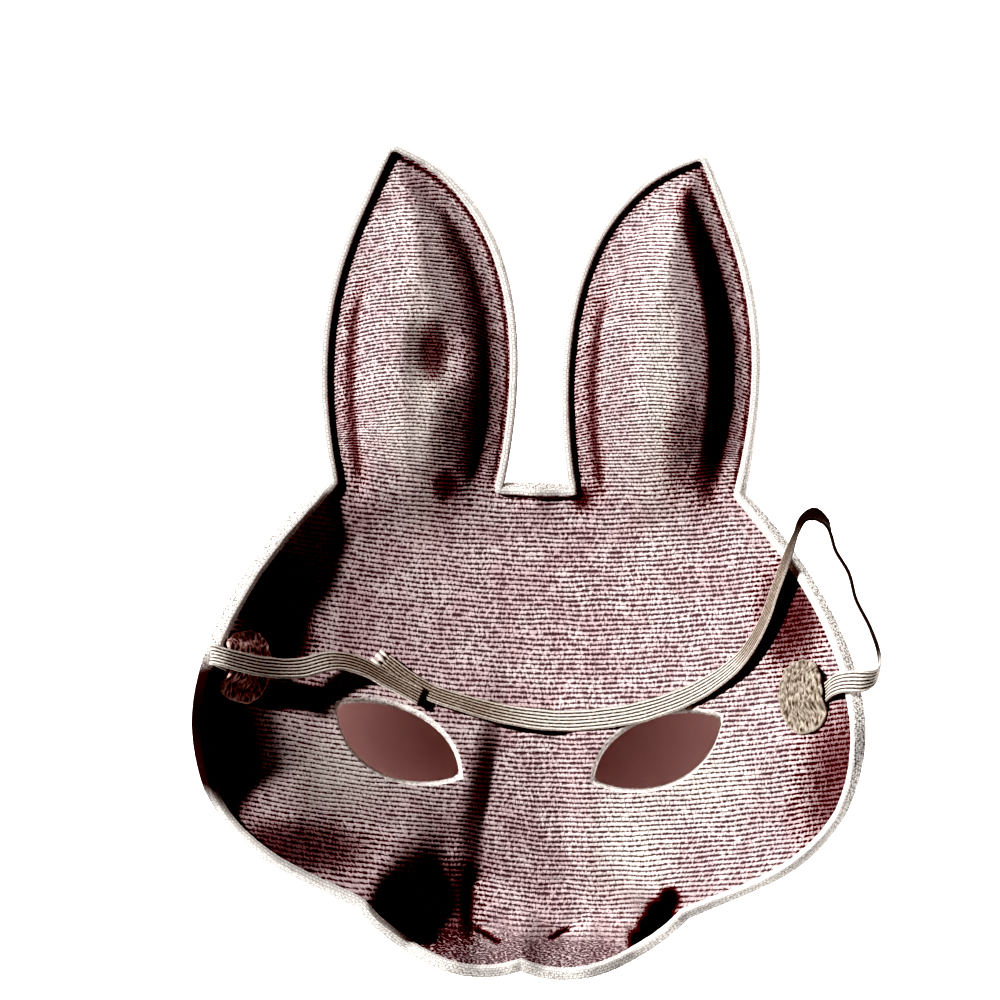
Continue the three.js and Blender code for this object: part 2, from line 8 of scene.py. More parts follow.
import bpy
import numpy as np
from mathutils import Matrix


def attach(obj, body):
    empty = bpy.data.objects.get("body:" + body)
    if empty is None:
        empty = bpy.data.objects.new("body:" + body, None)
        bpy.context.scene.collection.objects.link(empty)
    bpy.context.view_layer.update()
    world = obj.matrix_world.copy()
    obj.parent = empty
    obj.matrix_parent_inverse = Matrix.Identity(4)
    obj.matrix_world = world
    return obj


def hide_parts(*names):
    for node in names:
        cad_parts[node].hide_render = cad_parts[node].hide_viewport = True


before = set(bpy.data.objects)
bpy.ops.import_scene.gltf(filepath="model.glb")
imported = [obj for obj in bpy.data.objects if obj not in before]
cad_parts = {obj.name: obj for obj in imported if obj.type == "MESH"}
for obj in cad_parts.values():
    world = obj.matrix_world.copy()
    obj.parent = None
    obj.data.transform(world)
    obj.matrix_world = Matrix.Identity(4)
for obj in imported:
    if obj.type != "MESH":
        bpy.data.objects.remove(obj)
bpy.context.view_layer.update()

MM = 0.001
BODY = "root"


def rgb(red, green, blue):
    return (red, green, blue, 1.0)


# Camera, straight above the mask as in the photograph
CAMERA_PLACE = (-9.8, 17.0, 3000.0)
CAMERA_ROLL = 1.85  # degrees
VIEW_WIDTH = 275.0  # what the picture shows across, at VIEW_DEPTH from the camera
VIEW_DEPTH = 2980.0
VIEW_LIMIT = 15000.0
SENSOR = 36.0

# Cloth wall
WALL = 1.4
SLOPE_STEP = 0.25
OUTER_STEP = 1.8  # of the grid on the face side
OUTER_REACH = 116.0

# Outline of the +X half in plan, from the lip notch on: two handles and the end of each curve
LIP_NOTCH = (0.0, -110.6)
EAR_ROOT_Y = 20.4
OUTLINE = {
    "lip": ((16.2, -117.6), (33.9, -107.2), (44.4, -94.6)),
    "jaw": ((61.3, -86.6), (77.6, -82.0), (86.2, -64.0)),
    "temple": ((97.7, -32.8), (77.8, -0.8), (56.2, EAR_ROOT_Y)),
    "ear_outer": ((63.6, 59.6), (59.5, 79.4), (43.4, 112.4)),
    "ear_tip": ((42.8, 113.0), (41.2, 113.0), (40.6, 112.4)),
    "ear_inner": ((4.8, 100.0), (3.6, 53.2), (10.3, EAR_ROOT_Y)),
}
CURVE_STEPS = 40

# Eye hole on the +X side, from its inner corner over the top and back
EYE_INNER = (18.5, -59.3)
EYE_OUTER = (52.7, -40.7)
EYE_UPPER = ((19.4, -43.7), (39.6, -36.6))
EYE_LOWER = ((50.6, -58.0), (33.9, -65.1))
EYE_BEVEL = 0.9  # the cut leans, so the hole is wider on the wearer's side

# Heights of the wall's middle surface along the mask
SECTION_COLUMNS = ("y", "keel", "floor", "cheek", "nose", "muzzle")
SECTIONS = (
    (-116, 18, 21, 36, 15, 38),
    (-105, 6, 9, 30, 15, 38),
    (-97, 0.6, 4, 25, 15, 37),
    (-88, 1.5, 5.5, 19, 15, 33),
    (-75, 6.5, 11, 15, 15, 26),
    (-60, 10.5, 16, 16, 13, 22),
    (-48, 12, 16.5, 16.5, 11, 20),
    (-38, 10.5, 12.5, 12.5, 10, 20),
    (-25, 6, 6.5, 6.5, 10, 20),
    (-10, 1.8, 1.8, 1.8, 10, 20),
    (3, 0.2, 0.2, 0.2, 10, 20),
    (12, 1.6, 1.6, 1.6, 10, 20),
    (21, 5.5, 5.5, 5.5, 10, 20),
    (40, 9.5, 9.5, 9.5, 10, 20),
    (60, 10.5, 10.5, 10.5, 10, 20),
    (80, 10.5, 10.5, 10.5, 10, 20),
    (100, 11.5, 11.5, 11.5, 10, 20),
    (116, 14, 14, 14, 10, 20),
)
NOSE_SLOPE = 8
MUZZLE_SLOPE = 17
SIDE_RISE = 72.0
SIDE_REACH = 95.0
SIDE_REACH_LIMIT = 0.99
EAR_FLATTENING = {"share": 0.7, "from_y": 8, "to_y": 44}
PUFF = {"x": 17, "y": -96, "half_x": 17, "half_y": 15, "height": -4}
EYE_SOCKET = {"x": 36, "y": -50, "half_x": 25, "half_y": 17, "height": 2}
CHEEK_EDGE = {"x": 98, "y": -66, "half_x": 38, "half_y": 30, "height": -13}
EAR_SAG = {"x": -31, "y": 66, "half_x": 22, "half_y": 56, "height": -4}
EAR_DENT = {"x": -29, "y": 56, "half_x": 11, "half_y": 14, "height": -3.5}
TEMPLE_CURL = {"x": -88, "y": 8, "half_x": 34, "half_y": 32, "height": 12}
LIP_CLEFT = {"half_x": 4, "from_y": -94, "to_y": -108, "height": 4}
EAR_BULGE = {"height": 15.5, "band": 4, "run": 18, "rounding": 1.3, "from_y": 4, "to_y": 46}

# Threads of the cloth's inner face
ROW_PERIOD = {"face": 1.35, "ear": 1.02, "from_y": 10, "to_y": 32}
ROW_RANGE = (-134.0, 124.0)
ROW_TABLE_STEP = 0.05
SAMPLES_PER_ROW = 4
COLUMN_STEP = 1.0
COLUMN_REACH = 92.0
RIB_HEIGHT = 0.3
ROW_WANDER = {"reach": 0.14, "size": 17, "seed": 2}  # reach as a share of a row
FACE_BEND = 0.0012
EAR_BEND = {"rate": -0.0073, "middle": 33, "from_y": 20, "to_y": 45}
NOSE_BEND = {"slope": 0.12, "x": 4, "reach": 22, "y": -85, "spread": 22}
LIP_BAND = {"from_y": -98, "to_y": -107}  # loosely woven
LIP_WANDER = {"reach": 2.5, "size": 12, "seed": 3}
STEEP = {"from": 0.42, "to": 0.66}
LOOSE_FLATTENING = 0.7  # of the ribs, where the weave is loose
NOSTRILS = (((8.4, -103.5), (13.0, -100.8)), ((-12.3, -101.9), (-6.4, -105.0)))
# 'dark' is painted shade in the nostril creases
NOSTRIL_CREASE = {"half": 0.9, "depth": 0.9, "dark": 1.2}
PAINTED_LIGHT_SPOTS = (  # painted light: paler cloth where the light falls brightest, middle and half size in plan
    ((46, -58), (16, 12)),
    ((30, -75), (12, 16)),
    ((-32, 50), (7, 40)),
    ((33, 52), (6, 40)),
    ((-52, -58), (20, 15)),
    ((-34, 34), (9, 14)),
)
PAINTED_SHADE_SPOTS = (  # painted shade and shadow on the cloth, where the mask's forms and the elastic shade it: middle and half size in plan, and how dark, over 1 for black
    ((-72, -10), (12, 13), 1.2),
    ((-70, -22), (11, 14), 1.15),
    ((-87, -55), (15, 24), 1.2),
    ((-66, -39), (16, 4), 1.4),
    ((-63, -80), (26, 10), 0.8),
    ((-35, -96), (8, 12), 1.2),
    ((-23, -93), (13, 16), 0.82),
    ((-15.5, -94), (2.8, 13), 1.14),
    ((40.5, -91.5), (3.4, 4.4), 1.3),
    ((38.4, -95.5), (4.4, 5.0), 1.5),
    ((36, -99.5), (4.0, 4.8), 1.5),
    ((33, -103.5), (3.8, 4.0), 1.3),
    ((87, -58), (15, 30), 0.78),
    ((71, -13), (11, 18), 0.85),
    ((-30, 57), (5.5, 11), 0.85),
    ((-20, 36), (9, 20), 0.6),
    ((40, 34), (7, 18), 0.6),
    ((13, 18.5), (3.5, 4.5), 0.9),
    ((46.5, 23), (4, 7), 0.8),
    ((-25, 21), (5, 6), 0.85),
)
# Painted shade on the ears: in the groove beside the tape, in the crease and on each ear's +X flank
EAR_SHADE = {"from": 5, "full_from": 7, "full_to": 12, "to": 17, "from_y": 12, "to_y": 26}
EAR_FLANK = {"middle": 33, "fade": 6}
EAR_HEART = {"y": 62, "half": 32, "rest": 0.72, "more": 0.55, "left": 0.7}  # painted shade along the flanks, which turn from the light
EAR_GROOVE = {"gap": 2.0, "half": 0.9, "depth": 0.9}  # beside the tape
EAR_CREASE = {"gap": 7.4, "half": 2.3, "depth": 1.0, "dark": 0.85, "from_y": 86, "to_y": 66}

# Yarns of the cloth wall, with the dashed lines and the ticks between them
CLOTH_SPECULAR = 0.2
THREAD_PALE = rgb(0.74, 0.65, 0.64)
THREAD_PINK = rgb(0.58, 0.43, 0.44)
# cream of the painted light
PAINTED_LIGHT_CREAM = rgb(0.78, 0.73, 0.68)
LINE_DARK = rgb(0.12, 0.076, 0.082)
# Painted shade on the cloth: maroon where it is shaded, black where the shade is deepest
PAINTED_SHADE_MAROON = rgb(0.078, 0.004, 0.009)
PAINTED_SHADOW_BLACK = rgb(0.004, 0.002, 0.002)
# Painted light: how far the cloth turns to cream where the light falls brightest
PAINTED_LIGHT_SHARE = 0.8
YARN_SHAKE = {"scale": 1.3, "reach": 0.6}
DASH = 0.75
DASH_LINES_APART = 5.3
# lines are thinner where painted light makes the cloth paler
LINE_WIDTH = {"most": 0.74, "painted_lighter": 0.5, "least": 0.02, "ragged": 1.1, "soft": 0.3}
TICK = 1.15
TICK_SHIFT = 0.37  # of a tick, from one row to the next
TICK_DARK = 0.6
OUTSIDE_YARNS = (rgb(0.34, 0.20, 0.19), rgb(0.48, 0.34, 0.32))
OUTSIDE_GAPS = rgb(0.08, 0.015, 0.015)
OUTSIDE_WORN = rgb(0.40, 0.22, 0.21)
OUTSIDE_WEAVE = {"Mortar Size": 0.12, "Mortar Smooth": 0.8, "Brick Width": 1.6, "Row Height": 0.8}
CUT_EDGE_YARNS = (rgb(0.45, 0.40, 0.37), rgb(0.80, 0.76, 0.72))

# Folded tape round the edge
TAPE = 0.7
TAPE_CLEARANCE = 0.4
ROLL = {"ear": 1.4, "lip": 0.8}
LEG = {"lip": 0.9, "temple": 1.6, "ear": 1.2, "tip": 0.8}
LIP_TRIM = {"from_y": -66, "to_y": -30}
EAR_TRIM = {"from_y": 12, "to_y": 28}
TIP_TRIM = {"from_y": 98, "to_y": 110}
TAPE_ROUNDING = 0.5
# painted shade on the tape: black along the left edge, where the wall shades it
TAPE_PAINTED_SHADE = (((-91, -48), (16, 20), 1.4),)
TRIM_STEP = 0.9
TRIM_SPAN = 3.0
TRIM_INSET = 1.3
ROLL_POINTS = 13
ROLL_SQUARENESS = 0.65
SLOT_POINTS = 3
CORNER_POINTS = 4
TAPE_SWELL = {"reach": 0.07, "size": 6, "seed": 11}
TAPE_BEADS = {"share": 0.05, "pitch": 2.2}
DOT_SPAN = {"low": (-75.0, -45.0), "high": (22.0, 34.0), "elsewhere": 0.6, "edge": (4, 1)}
TAPE_YARNS = (rgb(0.74, 0.71, 0.68), rgb(0.86, 0.84, 0.81))
TAPE_GAPS = rgb(0.42, 0.37, 0.33)
TAPE_WEAVE = {"Mortar Size": 0.1, "Mortar Smooth": 0.7, "Brick Width": 1.1, "Row Height": 0.9}
TAPE_DOT = rgb(0.05, 0.03, 0.02)
# black of the painted shade
TAPE_PAINTED_SHADOW = rgb(0.02, 0.008, 0.008)

# Round patches over the ends of the elastic
PATCH = {"radius": 10, "thickness": 1.2, "rings": 26, "sectors": 120}
PATCH_PLACES = {
    "patch_left": {"x": -78.4, "y": -31.1, "turn": 11, "widening": 0.45},
    "patch_right": {"x": 75.8, "y": -34.4, "turn": 19, "widening": 0.10},
}
PATCH_TUNNEL = {"rise": 2.3, "flat": 3.7, "foot": 6.8, "lobes": 2, "from_out": -7, "to_out": 3}
WALL_CLEARANCE = 0.5
PATCH_RIM = 0.93  # outside this share of the radius the rim is paler: partly the cut edge, partly a painted highlight
PATCH_THINNING = {"share": 0.35, "power": 6}
FRAY = {"reach": 0.02, "size": 3, "seed": 21, "radius": 6, "power": 4}
CRUMPLES = (
    {"reach": 0.16, "size": 2.6, "seed": 31, "stretch": 1.0},
    {"reach": 0.14, "size": 1.4, "seed": 32, "stretch": 0.4},
)
PATCH_YARNS = {  # name of the material, its pits and its strands
    # patch_left's copy is painted shade: maroon pits, with strands paler so that they show in the shade
    "patch_left": ("rough_cloth_painted_shade", rgb(0.06, 0.01, 0.01), rgb(0.85, 0.62, 0.58)),
    "patch_right": ("rough_cloth_beige", rgb(0.07, 0.05, 0.035), rgb(0.50, 0.45, 0.385)),
}

# Flat elastic
STRAP = {"width": 6.0, "thickness": 0.9, "ribs": 6, "step": 0.8}
RIB = {"points": 6, "groove_height": 0.5, "rounding": 0.7, "groove_from": 0.4, "groove_to": 0.85}
STRAP_WAVE = {"reach": 0.02, "size": 9, "seed": 5}
STAIN_SPAN = {"from": -62, "full_from": -48, "full_to": -14, "to": 2}
STAIN_SHARE = 0.6
STAIN_RISE = {"from": 50, "to": 62, "from_y": -27, "to_y": -22, "share": 0.75}
STAIN_EDGE = {"clean": 2.7, "full": 1.9, "share": 0.35}  # the outer ribs stay paler
# painted shade: the loop, where it stands on edge in shade, near black
LOOP_PAINTED_SHADE = {"from": 67, "to": 73, "from_y": -27, "to_y": -22, "share": 0.97}
ELASTIC_CREAM = (rgb(0.46, 0.40, 0.34), rgb(0.90, 0.87, 0.82))
ELASTIC_BROWN = (rgb(0.14, 0.09, 0.065), rgb(0.50, 0.42, 0.34))
ELASTIC_GAP = rgb(0.025, 0.012, 0.008)
# black of the painted shade
ELASTIC_PAINTED_SHADOW = rgb(0.012, 0.008, 0.006)

# Frayed ribs at the long elastic's first end: place across, width, how far they stick out, and rise
PRONGS = ((-1.9, 1.0, 3.3, 0.2), (0.1, 1.4, 3.0, 0.7), (2.0, 0.8, 2.8, 0.5))
PRONG = {"thickness": 0.6, "root": 0.8}

# Routes of the elastic: place of its middle, compass direction and tilt of its width
ROUTE_STEPS = 24
SHORT_ROUTE = (
    (-77.8, -31.3, 43.1, 94, -23),
    (-79.9, -30.6, 45.2, 94, -22),
    (-82, -29.9, 47.5, 94, -21),
    (-83, -29.4, 49.9, 94, -20),
    (-83.4, -28.8, 52.8, 95, -20),
    (-84.8, -28.2, 55.9, 94, -22),
    (-86.4, -27.4, 58.7, 93, -25),
    (-86, -27.4, 61.1, 92, -28),
    (-83.2, -28.1, 60.7, 91, -30),
    (-78.6, -29.3, 55.6, 90, -32),
    (-71.5, -30.6, 45.6, 92, -33),
    (-63.2, -30.7, 36.6, 97, -35),
    (-53.7, -28.5, 29, 84, -40),
    (-46.8, -29.7, 25.2, 68, -46),
    (-38.6, -33.7, 22.4, 62, -48),
    (-29.8, -37.9, 21.4, 62, -42),
)
LONG_ROUTE = (
    (-40.2, -28.6, 17.4, 52, -38),
    (-33.8, -33, 17.7, 60, -42),
    (-26.7, -36.7, 17.7, 68, -42),
    (-18, -39.3, 17.2, 71, -39),
    (-9, -41.5, 16, 76, -32),
    (1, -42.9, 15.6, 85, -24),
    (10, -43.2, 16.5, 92, -20),
    (22.4, -41.8, 19.3, 97, -22),
    (33.3, -39.2, 21.3, 104, -25),
    (46.9, -33.2, 23.3, 116, -36),
    (57.4, -24.8, 25.9, 130, -56),
    (63.6, -14.2, 27.2, 150, -66),
    (66.2, -6, 28.3, 160, -69),
    (68.7, 1.7, 30.5, 163, -72),
    (70.1, 6, 32.1, 163, -76),
    (71.5, 10.4, 32.9, 163, -84),
    (73.4, 14.6, 33, 140, -74),
    (76.2, 15.9, 33.2, 100, -52),
    (79.2, 14, 33.8, 80, -66),
    (80.9, 10.6, 34.8, 163, -90),
    (82.4, 6.2, 36.6, 163, -90),
    (86, 0.2, 39.6, 270, -90),
    (88.2, -7, 44, 270, -90),
    (92, -14.4, 49, 270, -90),
    (94.2, -20.5, 54, 270, -88),
    (94.6, -25, 58, 270, -72),
    (93.2, -27.8, 61, 270, -42),
    (90.2, -28.8, 62, 269, -10),
    (87.4, -29, 60.6, 268, 12),
    (85.2, -29.3, 57.6, 268, 20),
    (83.7, -29.8, 55, 268, 22),
    (82.6, -30.4, 52.4, 268, 24),
    (81.6, -31.3, 49.7, 269, 25),
    (80.6, -32.5, 46.9, 269, 25),
    (78.3, -33.5, 44.4, 267, 23),
    (76, -34.3, 42.2, 266, 23),
)

# Floor, lights and contrast
FLOOR_FAR = {"x": 0.0, "y": 0.0, "half_x": 6000.0, "half_y": 6000.0}
FLOOR_BELOW = {"x": 0.0, "y": -50.0, "half_x": 66.0, "half_y": 17.0}
FLOOR_STEPS = 64
FLOOR_GREYS = (rgb(0.86, 0.86, 0.86), rgb(0.92, 0.92, 0.92))
KEY_SUN = {"strength": 4.5, "spread": 4.0, "elevation": 46.0}
KEY_AZIMUTH = 154.0
FLOOR_SUN = {"strength": 4.4, "spread": 12.0, "elevation": 40.0}
FLOOR_AZIMUTHS = (60, 120, -60, -120)
WORLD_TINT = rgb(1.0, 0.96, 0.95)
WORLD_FILL = 0.018
BLACK_LEVEL = (0.04, 0.05, 0.05)


# Curves and the wall's relief

def eased(start, end, value):
    share = np.clip((value - start) / (end - start), 0.0, 1.0)
    return share * share * (3.0 - 2.0 * share)


def ramp(form, value, low="from_y", high="to_y"):
    """From 0 to 1 between two of a form's named places."""
    return eased(form[low], form[high], value)


def plateau(form, value):
    """1 between a form's inner places, and 0 outside its outer ones."""
    return ramp(form, value, "from", "full_from") * (1.0 - ramp(form, value, "full_to", "to"))


def hill(value, half):
    """Bell that is 1 at 0, and about a third at the half size."""
    return np.exp(-((value / half) ** 2))


def mixed(low, high, share):
    return low + (high - low) * share


def unit(vectors):
    return vectors / np.linalg.norm(vectors, axis=-1, keepdims=True)


def hermite(t, start, end, leave, arrive):
    """Cubic from start to end, with its slopes there."""
    level = (2 * t**3 - 3 * t**2 + 1) * start + (3 * t**2 - 2 * t**3) * end
    return level + (t**3 - 2 * t**2 + t) * leave + (t**3 - t**2) * arrive


def cubic(start, leave, arrive, end, steps=CURVE_STEPS):
    """Points of one Bezier curve, without its last point."""
    t = np.linspace(0.0, 1.0, steps, endpoint=False)[:, None]
    corners = [np.array(corner, float) for corner in (start, leave, arrive, end)]
    weights = ((1 - t) ** 3, 3 * (1 - t) ** 2 * t, 3 * (1 - t) * t**2, t**3)
    return sum(weight * corner for weight, corner in zip(weights, corners))


def length_along(line):
    """Length along a line of points at each of them."""
    return np.concatenate([[0.0], np.cumsum(np.linalg.norm(np.diff(line, axis=0), axis=1))])


def read_off(place, lengths, line):
    """Points of a line at given lengths along it."""
    return np.stack([np.interp(place, lengths, column) for column in line.T], axis=-1)


def half_outline():
    curves = {}
    start = LIP_NOTCH
    for name, (leave, arrive, end) in OUTLINE.items():
        curves[name] = cubic(start, leave, arrive, end)
        start = end
    return curves


HALF = half_outline()
MIRROR = np.array((-1.0, 1.0))
EAR_END = np.array(OUTLINE["ear_inner"][2])
EAR_EDGE = np.vstack([HALF["ear_outer"], HALF["ear_tip"], HALF["ear_inner"], EAR_END])


def whole_outline():
    """Anticlockwise points round the whole edge in plan."""
    right = np.vstack([*HALF.values(), EAR_END])
    gap = np.linspace(EAR_END, EAR_END * MIRROR, CURVE_STEPS // 2)[1:-1]
    left = (right * MIRROR)[::-1][:-1]
    return np.vstack([right, gap, left])


def eye_rim(mirror):
    upper = cubic(EYE_INNER, *EYE_UPPER, EYE_OUTER)
    lower = cubic(EYE_OUTER, *EYE_LOWER, EYE_INNER)
    return np.vstack([upper, lower]) * np.array((mirror, 1.0))


EDGE = whole_outline()
EYES = [eye_rim(1), eye_rim(-1)]


def nearest_on(line, x, y, closed=True):
    """Distance in plan to a line of points, the length along it there, and its whole length."""
    ends = np.roll(line, -1, axis=0) if closed else line[1:]
    best = np.full(np.shape(x), np.inf)
    place = np.zeros(np.shape(x))
    run = 0.0
    for start, end in zip(line, ends):
        step = end - start
        length = math.hypot(*step)
        if length == 0.0:
            continue
        share = ((x - start[0]) * step[0] + (y - start[1]) * step[1]) / length**2
        share = np.clip(share, 0.0, 1.0)
        gap = np.hypot(x - start[0] - share * step[0], y - start[1] - share * step[1])
        nearer = gap < best
        best = np.where(nearer, gap, best)
        place = np.where(nearer, run + share * length, place)
        run += length
    return best, place, run


def is_within(line, x, y):
    crossings = np.zeros(np.shape(x), bool)
    for start, end in zip(line, np.roll(line, -1, axis=0)):
        spans = (start[1] > y) != (end[1] > y)
        rise = end[1] - start[1]
        if rise == 0.0:
            continue
        crossings ^= spans & (x < start[0] + (y - start[1]) * (end[0] - start[0]) / rise)
    return crossings


def inside_distance(line, x, y):
    """Distance to the line in plan, counted positive inside it."""
    gap = nearest_on(line, x, y)[0]
    return np.where(is_within(line, x, y), gap, -gap)


def room_inside(x, y, bevel):
    """Distance inside the wall's plan, whose eye holes are wider by the bevel."""
    room = inside_distance(EDGE, x, y)
    for rim in EYES:
        room = np.minimum(room, -inside_distance(rim, x, y) - bevel)
    return room


SECTION_TABLE = {name: np.array(values, float) for name, values in zip(SECTION_COLUMNS, zip(*SECTIONS))}


def section_value(column, y):
    """Smooth curve through one column of the sections."""
    places = SECTION_TABLE["y"]
    values = SECTION_TABLE[column]
    before = np.maximum(np.arange(len(places)) - 1, 0)
    after = np.minimum(np.arange(len(places)) + 1, len(places) - 1)
    slopes = (values[after] - values[before]) / (places[after] - places[before])
    y = np.clip(y, places[0], places[-1])
    row = np.clip(np.searchsorted(places, y) - 1, 0, len(places) - 2)
    run = places[row + 1] - places[row]
    t = (y - places[row]) / run
    return hermite(t, values[row], values[row + 1], run * slopes[row], run * slopes[row + 1])


def swelling(form, x, y):
    across = (x - form["x"]) / form["half_x"]
    along = (y - form["y"]) / form["half_y"]
    return form["height"] * np.maximum(0.0, 1.0 - across**2 - along**2) ** 2


def height_at(x, y):
    """Height of the wall's middle surface."""
    side = np.abs(x)
    keel = section_value("keel", y)
    floor = section_value("floor", y)
    from_nose = side - section_value("nose", y)
    from_muzzle = side - section_value("muzzle", y)
    beside_nose = (floor - keel) * eased(-NOSE_SLOPE / 2, NOSE_SLOPE / 2, from_nose)
    rise = section_value("cheek", y) - floor
    middle = keel + beside_nose + rise * eased(-MUZZLE_SLOPE / 2, MUZZLE_SLOPE / 2, from_muzzle)
    reach = np.minimum(side / SIDE_REACH, SIDE_REACH_LIMIT)
    flattening = EAR_FLATTENING["share"] * ramp(EAR_FLATTENING, y)
    bowl = SIDE_RISE * (1.0 - np.sqrt(1.0 - reach**2)) * (1.0 - flattening)
    paired = sum(swelling(form, side, y) for form in (PUFF, EYE_SOCKET, CHEEK_EDGE))
    forms = paired + sum(swelling(form, x, y) for form in (EAR_SAG, EAR_DENT, TEMPLE_CURL))
    cleft = LIP_CLEFT["height"] * hill(x, LIP_CLEFT["half_x"]) * ramp(LIP_CLEFT, y)
    from_edge = nearest_on(EAR_EDGE, side, y, closed=False)[0]
    share = np.clip((from_edge - EAR_BULGE["band"]) / EAR_BULGE["run"], 0.0, 1.0)
    dome = 1.0 - (1.0 - share) ** EAR_BULGE["rounding"]
    bulge = EAR_BULGE["height"] * dome * ramp(EAR_BULGE, y)
    return np.maximum(WALL / 2, middle + bowl + forms + cleft + bulge)


def normal_at(x, y):
    slope_x = (height_at(x + SLOPE_STEP, y) - height_at(x - SLOPE_STEP, y)) / (2 * SLOPE_STEP)
    slope_y = (height_at(x, y + SLOPE_STEP) - height_at(x, y - SLOPE_STEP)) / (2 * SLOPE_STEP)
    return unit(np.stack([-slope_x, -slope_y, np.ones_like(slope_x)], axis=-1))


def on_wall(x, y):
    return np.stack([x, y, height_at(x, y)], axis=-1)


def wander(form, x, y, waves=6):
    """Smooth irregular values up to about the form's reach either way, the same on each run."""
    draw = np.random.default_rng(form["seed"])
    total = np.zeros(np.shape(x))
    for angle, phase, stretch in draw.uniform((0, 0, 0.7), (math.pi, 2 * math.pi, 1.5), (waves, 3)):
        along = x * math.cos(angle) + y * math.sin(angle)
        total += np.sin(2 * math.pi * along * stretch / form["size"] + phase)
    return form["reach"] * total / math.sqrt(waves)


# Materials

class Finish:
    """One node material, whose sockets are given by name as numbers, colours or other outputs."""

    def __init__(self, name, roughness):
        self.material = bpy.data.materials.new(name)
        self.material.use_nodes = True
        self.tree = self.material.node_tree
        self.shader = self.tree.nodes["Principled BSDF"]
        self.shader.inputs["Roughness"].default_value = roughness
        self.shader.inputs["Specular IOR Level"].default_value = CLOTH_SPECULAR

    def connect(self, socket, value):
        if isinstance(value, bpy.types.NodeSocket):
            self.tree.links.new(value, socket)
        else:
            socket.default_value = value

    def add(self, kind, sockets, **settings):
        node = self.tree.nodes.new("ShaderNode" + kind)
        for key, value in settings.items():
            setattr(node, key, value)
        for key, value in sockets.items():
            self.connect(node.inputs[key], value)
        return node

    def attribute(self, name, output="Fac"):
        return self.add("Attribute", {}, attribute_name=name).outputs[output]

    def cloth(self):
        """Place on the cloth in millimetres, along its yarns and across them."""
        return self.attribute("cloth", "Vector")

    def place(self):
        return self.add("TexCoord", {}).outputs["Object"]

    def moved(self, vector, rotation=0.0, scale=(1.0, 1.0, 1.0)):
        turn = (0.0, 0.0, math.radians(rotation))
        return self.add("Mapping", {"Vector": vector, "Rotation": turn, "Scale": scale}).outputs["Vector"]

    def vector(self, operation, sockets):
        return self.add("VectorMath", sockets, operation=operation).outputs[0]

    def noise(self, vector, scale, detail=2.0, output="Fac"):
        sockets = {"Vector": vector, "Scale": scale, "Detail": detail}
        return self.add("TexNoise", sockets).outputs[output]

    def bricks(self, vector, yarns, gaps, sizes):
        """Weave of two colours of yarn with gaps between them: its colour, and 1 in the gaps."""
        sockets = {"Vector": vector, "Color1": yarns[0], "Color2": yarns[1], "Mortar": gaps, "Scale": 1.0}
        node = self.add("TexBrick", {**sockets, **sizes})
        return node.outputs["Color"], node.outputs["Fac"]

    def math(self, operation, first, second=0.0):
        return self.add("Math", {0: first, 1: second}, operation=operation).outputs[0]

    def plus(self, first, second):
        return self.math("ADD", first, second)

    def less(self, first, second):
        return self.math("SUBTRACT", first, second)

    def times(self, first, second):
        return self.math("MULTIPLY", first, second)

    def span(self, value, low, high, to_low=0.0, to_high=1.0):
        sockets = {"Value": value, "From Min": low, "From Max": high, "To Min": to_low, "To Max": to_high}
        return self.add("MapRange", sockets, interpolation_type="SMOOTHSTEP").outputs["Result"]

    def mix(self, share, low, high):
        """Colour between two others."""
        return self.add("Mix", {0: share, 6: low, 7: high}, data_type="RGBA").outputs[2]

    def blend(self, share, low, high):
        """Number between two others."""
        return self.add("Mix", {0: share, 2: low, 3: high}, data_type="FLOAT").outputs[0]

    def crown(self, share):
        """Arch that is 0 where the share is 0 or 1, and 1 halfway."""
        return self.times(self.times(share, self.less(1.0, share)), 4.0)

    def finish(self, colour, height, depth, roughness=None):
        """Colour, and a bump as deep in millimetres as given."""
        self.connect(self.shader.inputs["Base Color"], colour)
        bump = self.add("Bump", {"Height": height, "Distance": depth * MM, "Strength": 1.0})
        self.connect(self.shader.inputs["Normal"], bump.outputs["Normal"])
        if roughness is not None:
            self.connect(self.shader.inputs["Roughness"], roughness)
        return self.material


def shaken(made, cloth):
    """Place on the cloth, moved a little so that no yarn is straight."""
    jitter = made.noise(cloth, YARN_SHAKE["scale"], output="Color")
    centred = made.vector("SUBTRACT", {0: jitter, 1: (0.5, 0.5, 0.5)})
    return made.vector("ADD", {0: cloth, 1: made.vector("SCALE", {0: centred, 3: YARN_SHAKE["reach"]})})


def thread_rows(made, cloth, place, painted_light, fuzz):
    """1 on the pale rows, and 0 in the dashed lines between them and in the ticks across them."""
    split = made.add("SeparateXYZ", {0: place}).outputs
    row = made.math("DIVIDE", split["Y"], ROW_PERIOD["face"])
    line = made.math("FLOOR", made.plus(row, 0.5))
    dash_place = {0: made.math("DIVIDE", split["X"], DASH), 1: made.times(line, DASH_LINES_APART)}
    dashes = made.noise(made.add("CombineXYZ", dash_place).outputs[0], 1.0, detail=1.0)
    # painted light: thinner lines where the cloth is painted paler
    widest = made.blend(painted_light, LINE_WIDTH["most"], LINE_WIDTH["painted_lighter"])
    reach = made.span(dashes, 0.30, 0.62, LINE_WIDTH["least"], widest)
    across = made.crown(made.math("FRACT", row))
    ragged = made.plus(across, made.times(made.less(fuzz, 0.5), LINE_WIDTH["ragged"]))
    soft = LINE_WIDTH["soft"]
    dashed = made.span(ragged, made.less(reach, soft), made.plus(reach, soft))
    row_shift = made.times(made.math("FLOOR", row), TICK_SHIFT)
    cell = made.math("FRACT", made.plus(made.math("DIVIDE", split["X"], TICK), row_shift))
    tick = made.less(1.0, made.span(made.crown(cell), 0.05, 0.5))
    ticked = made.times(tick, made.span(made.noise(cloth, 0.9), 0.40, 0.62, 0.0, TICK_DARK))
    return made.times(dashed, made.less(1.0, ticked))


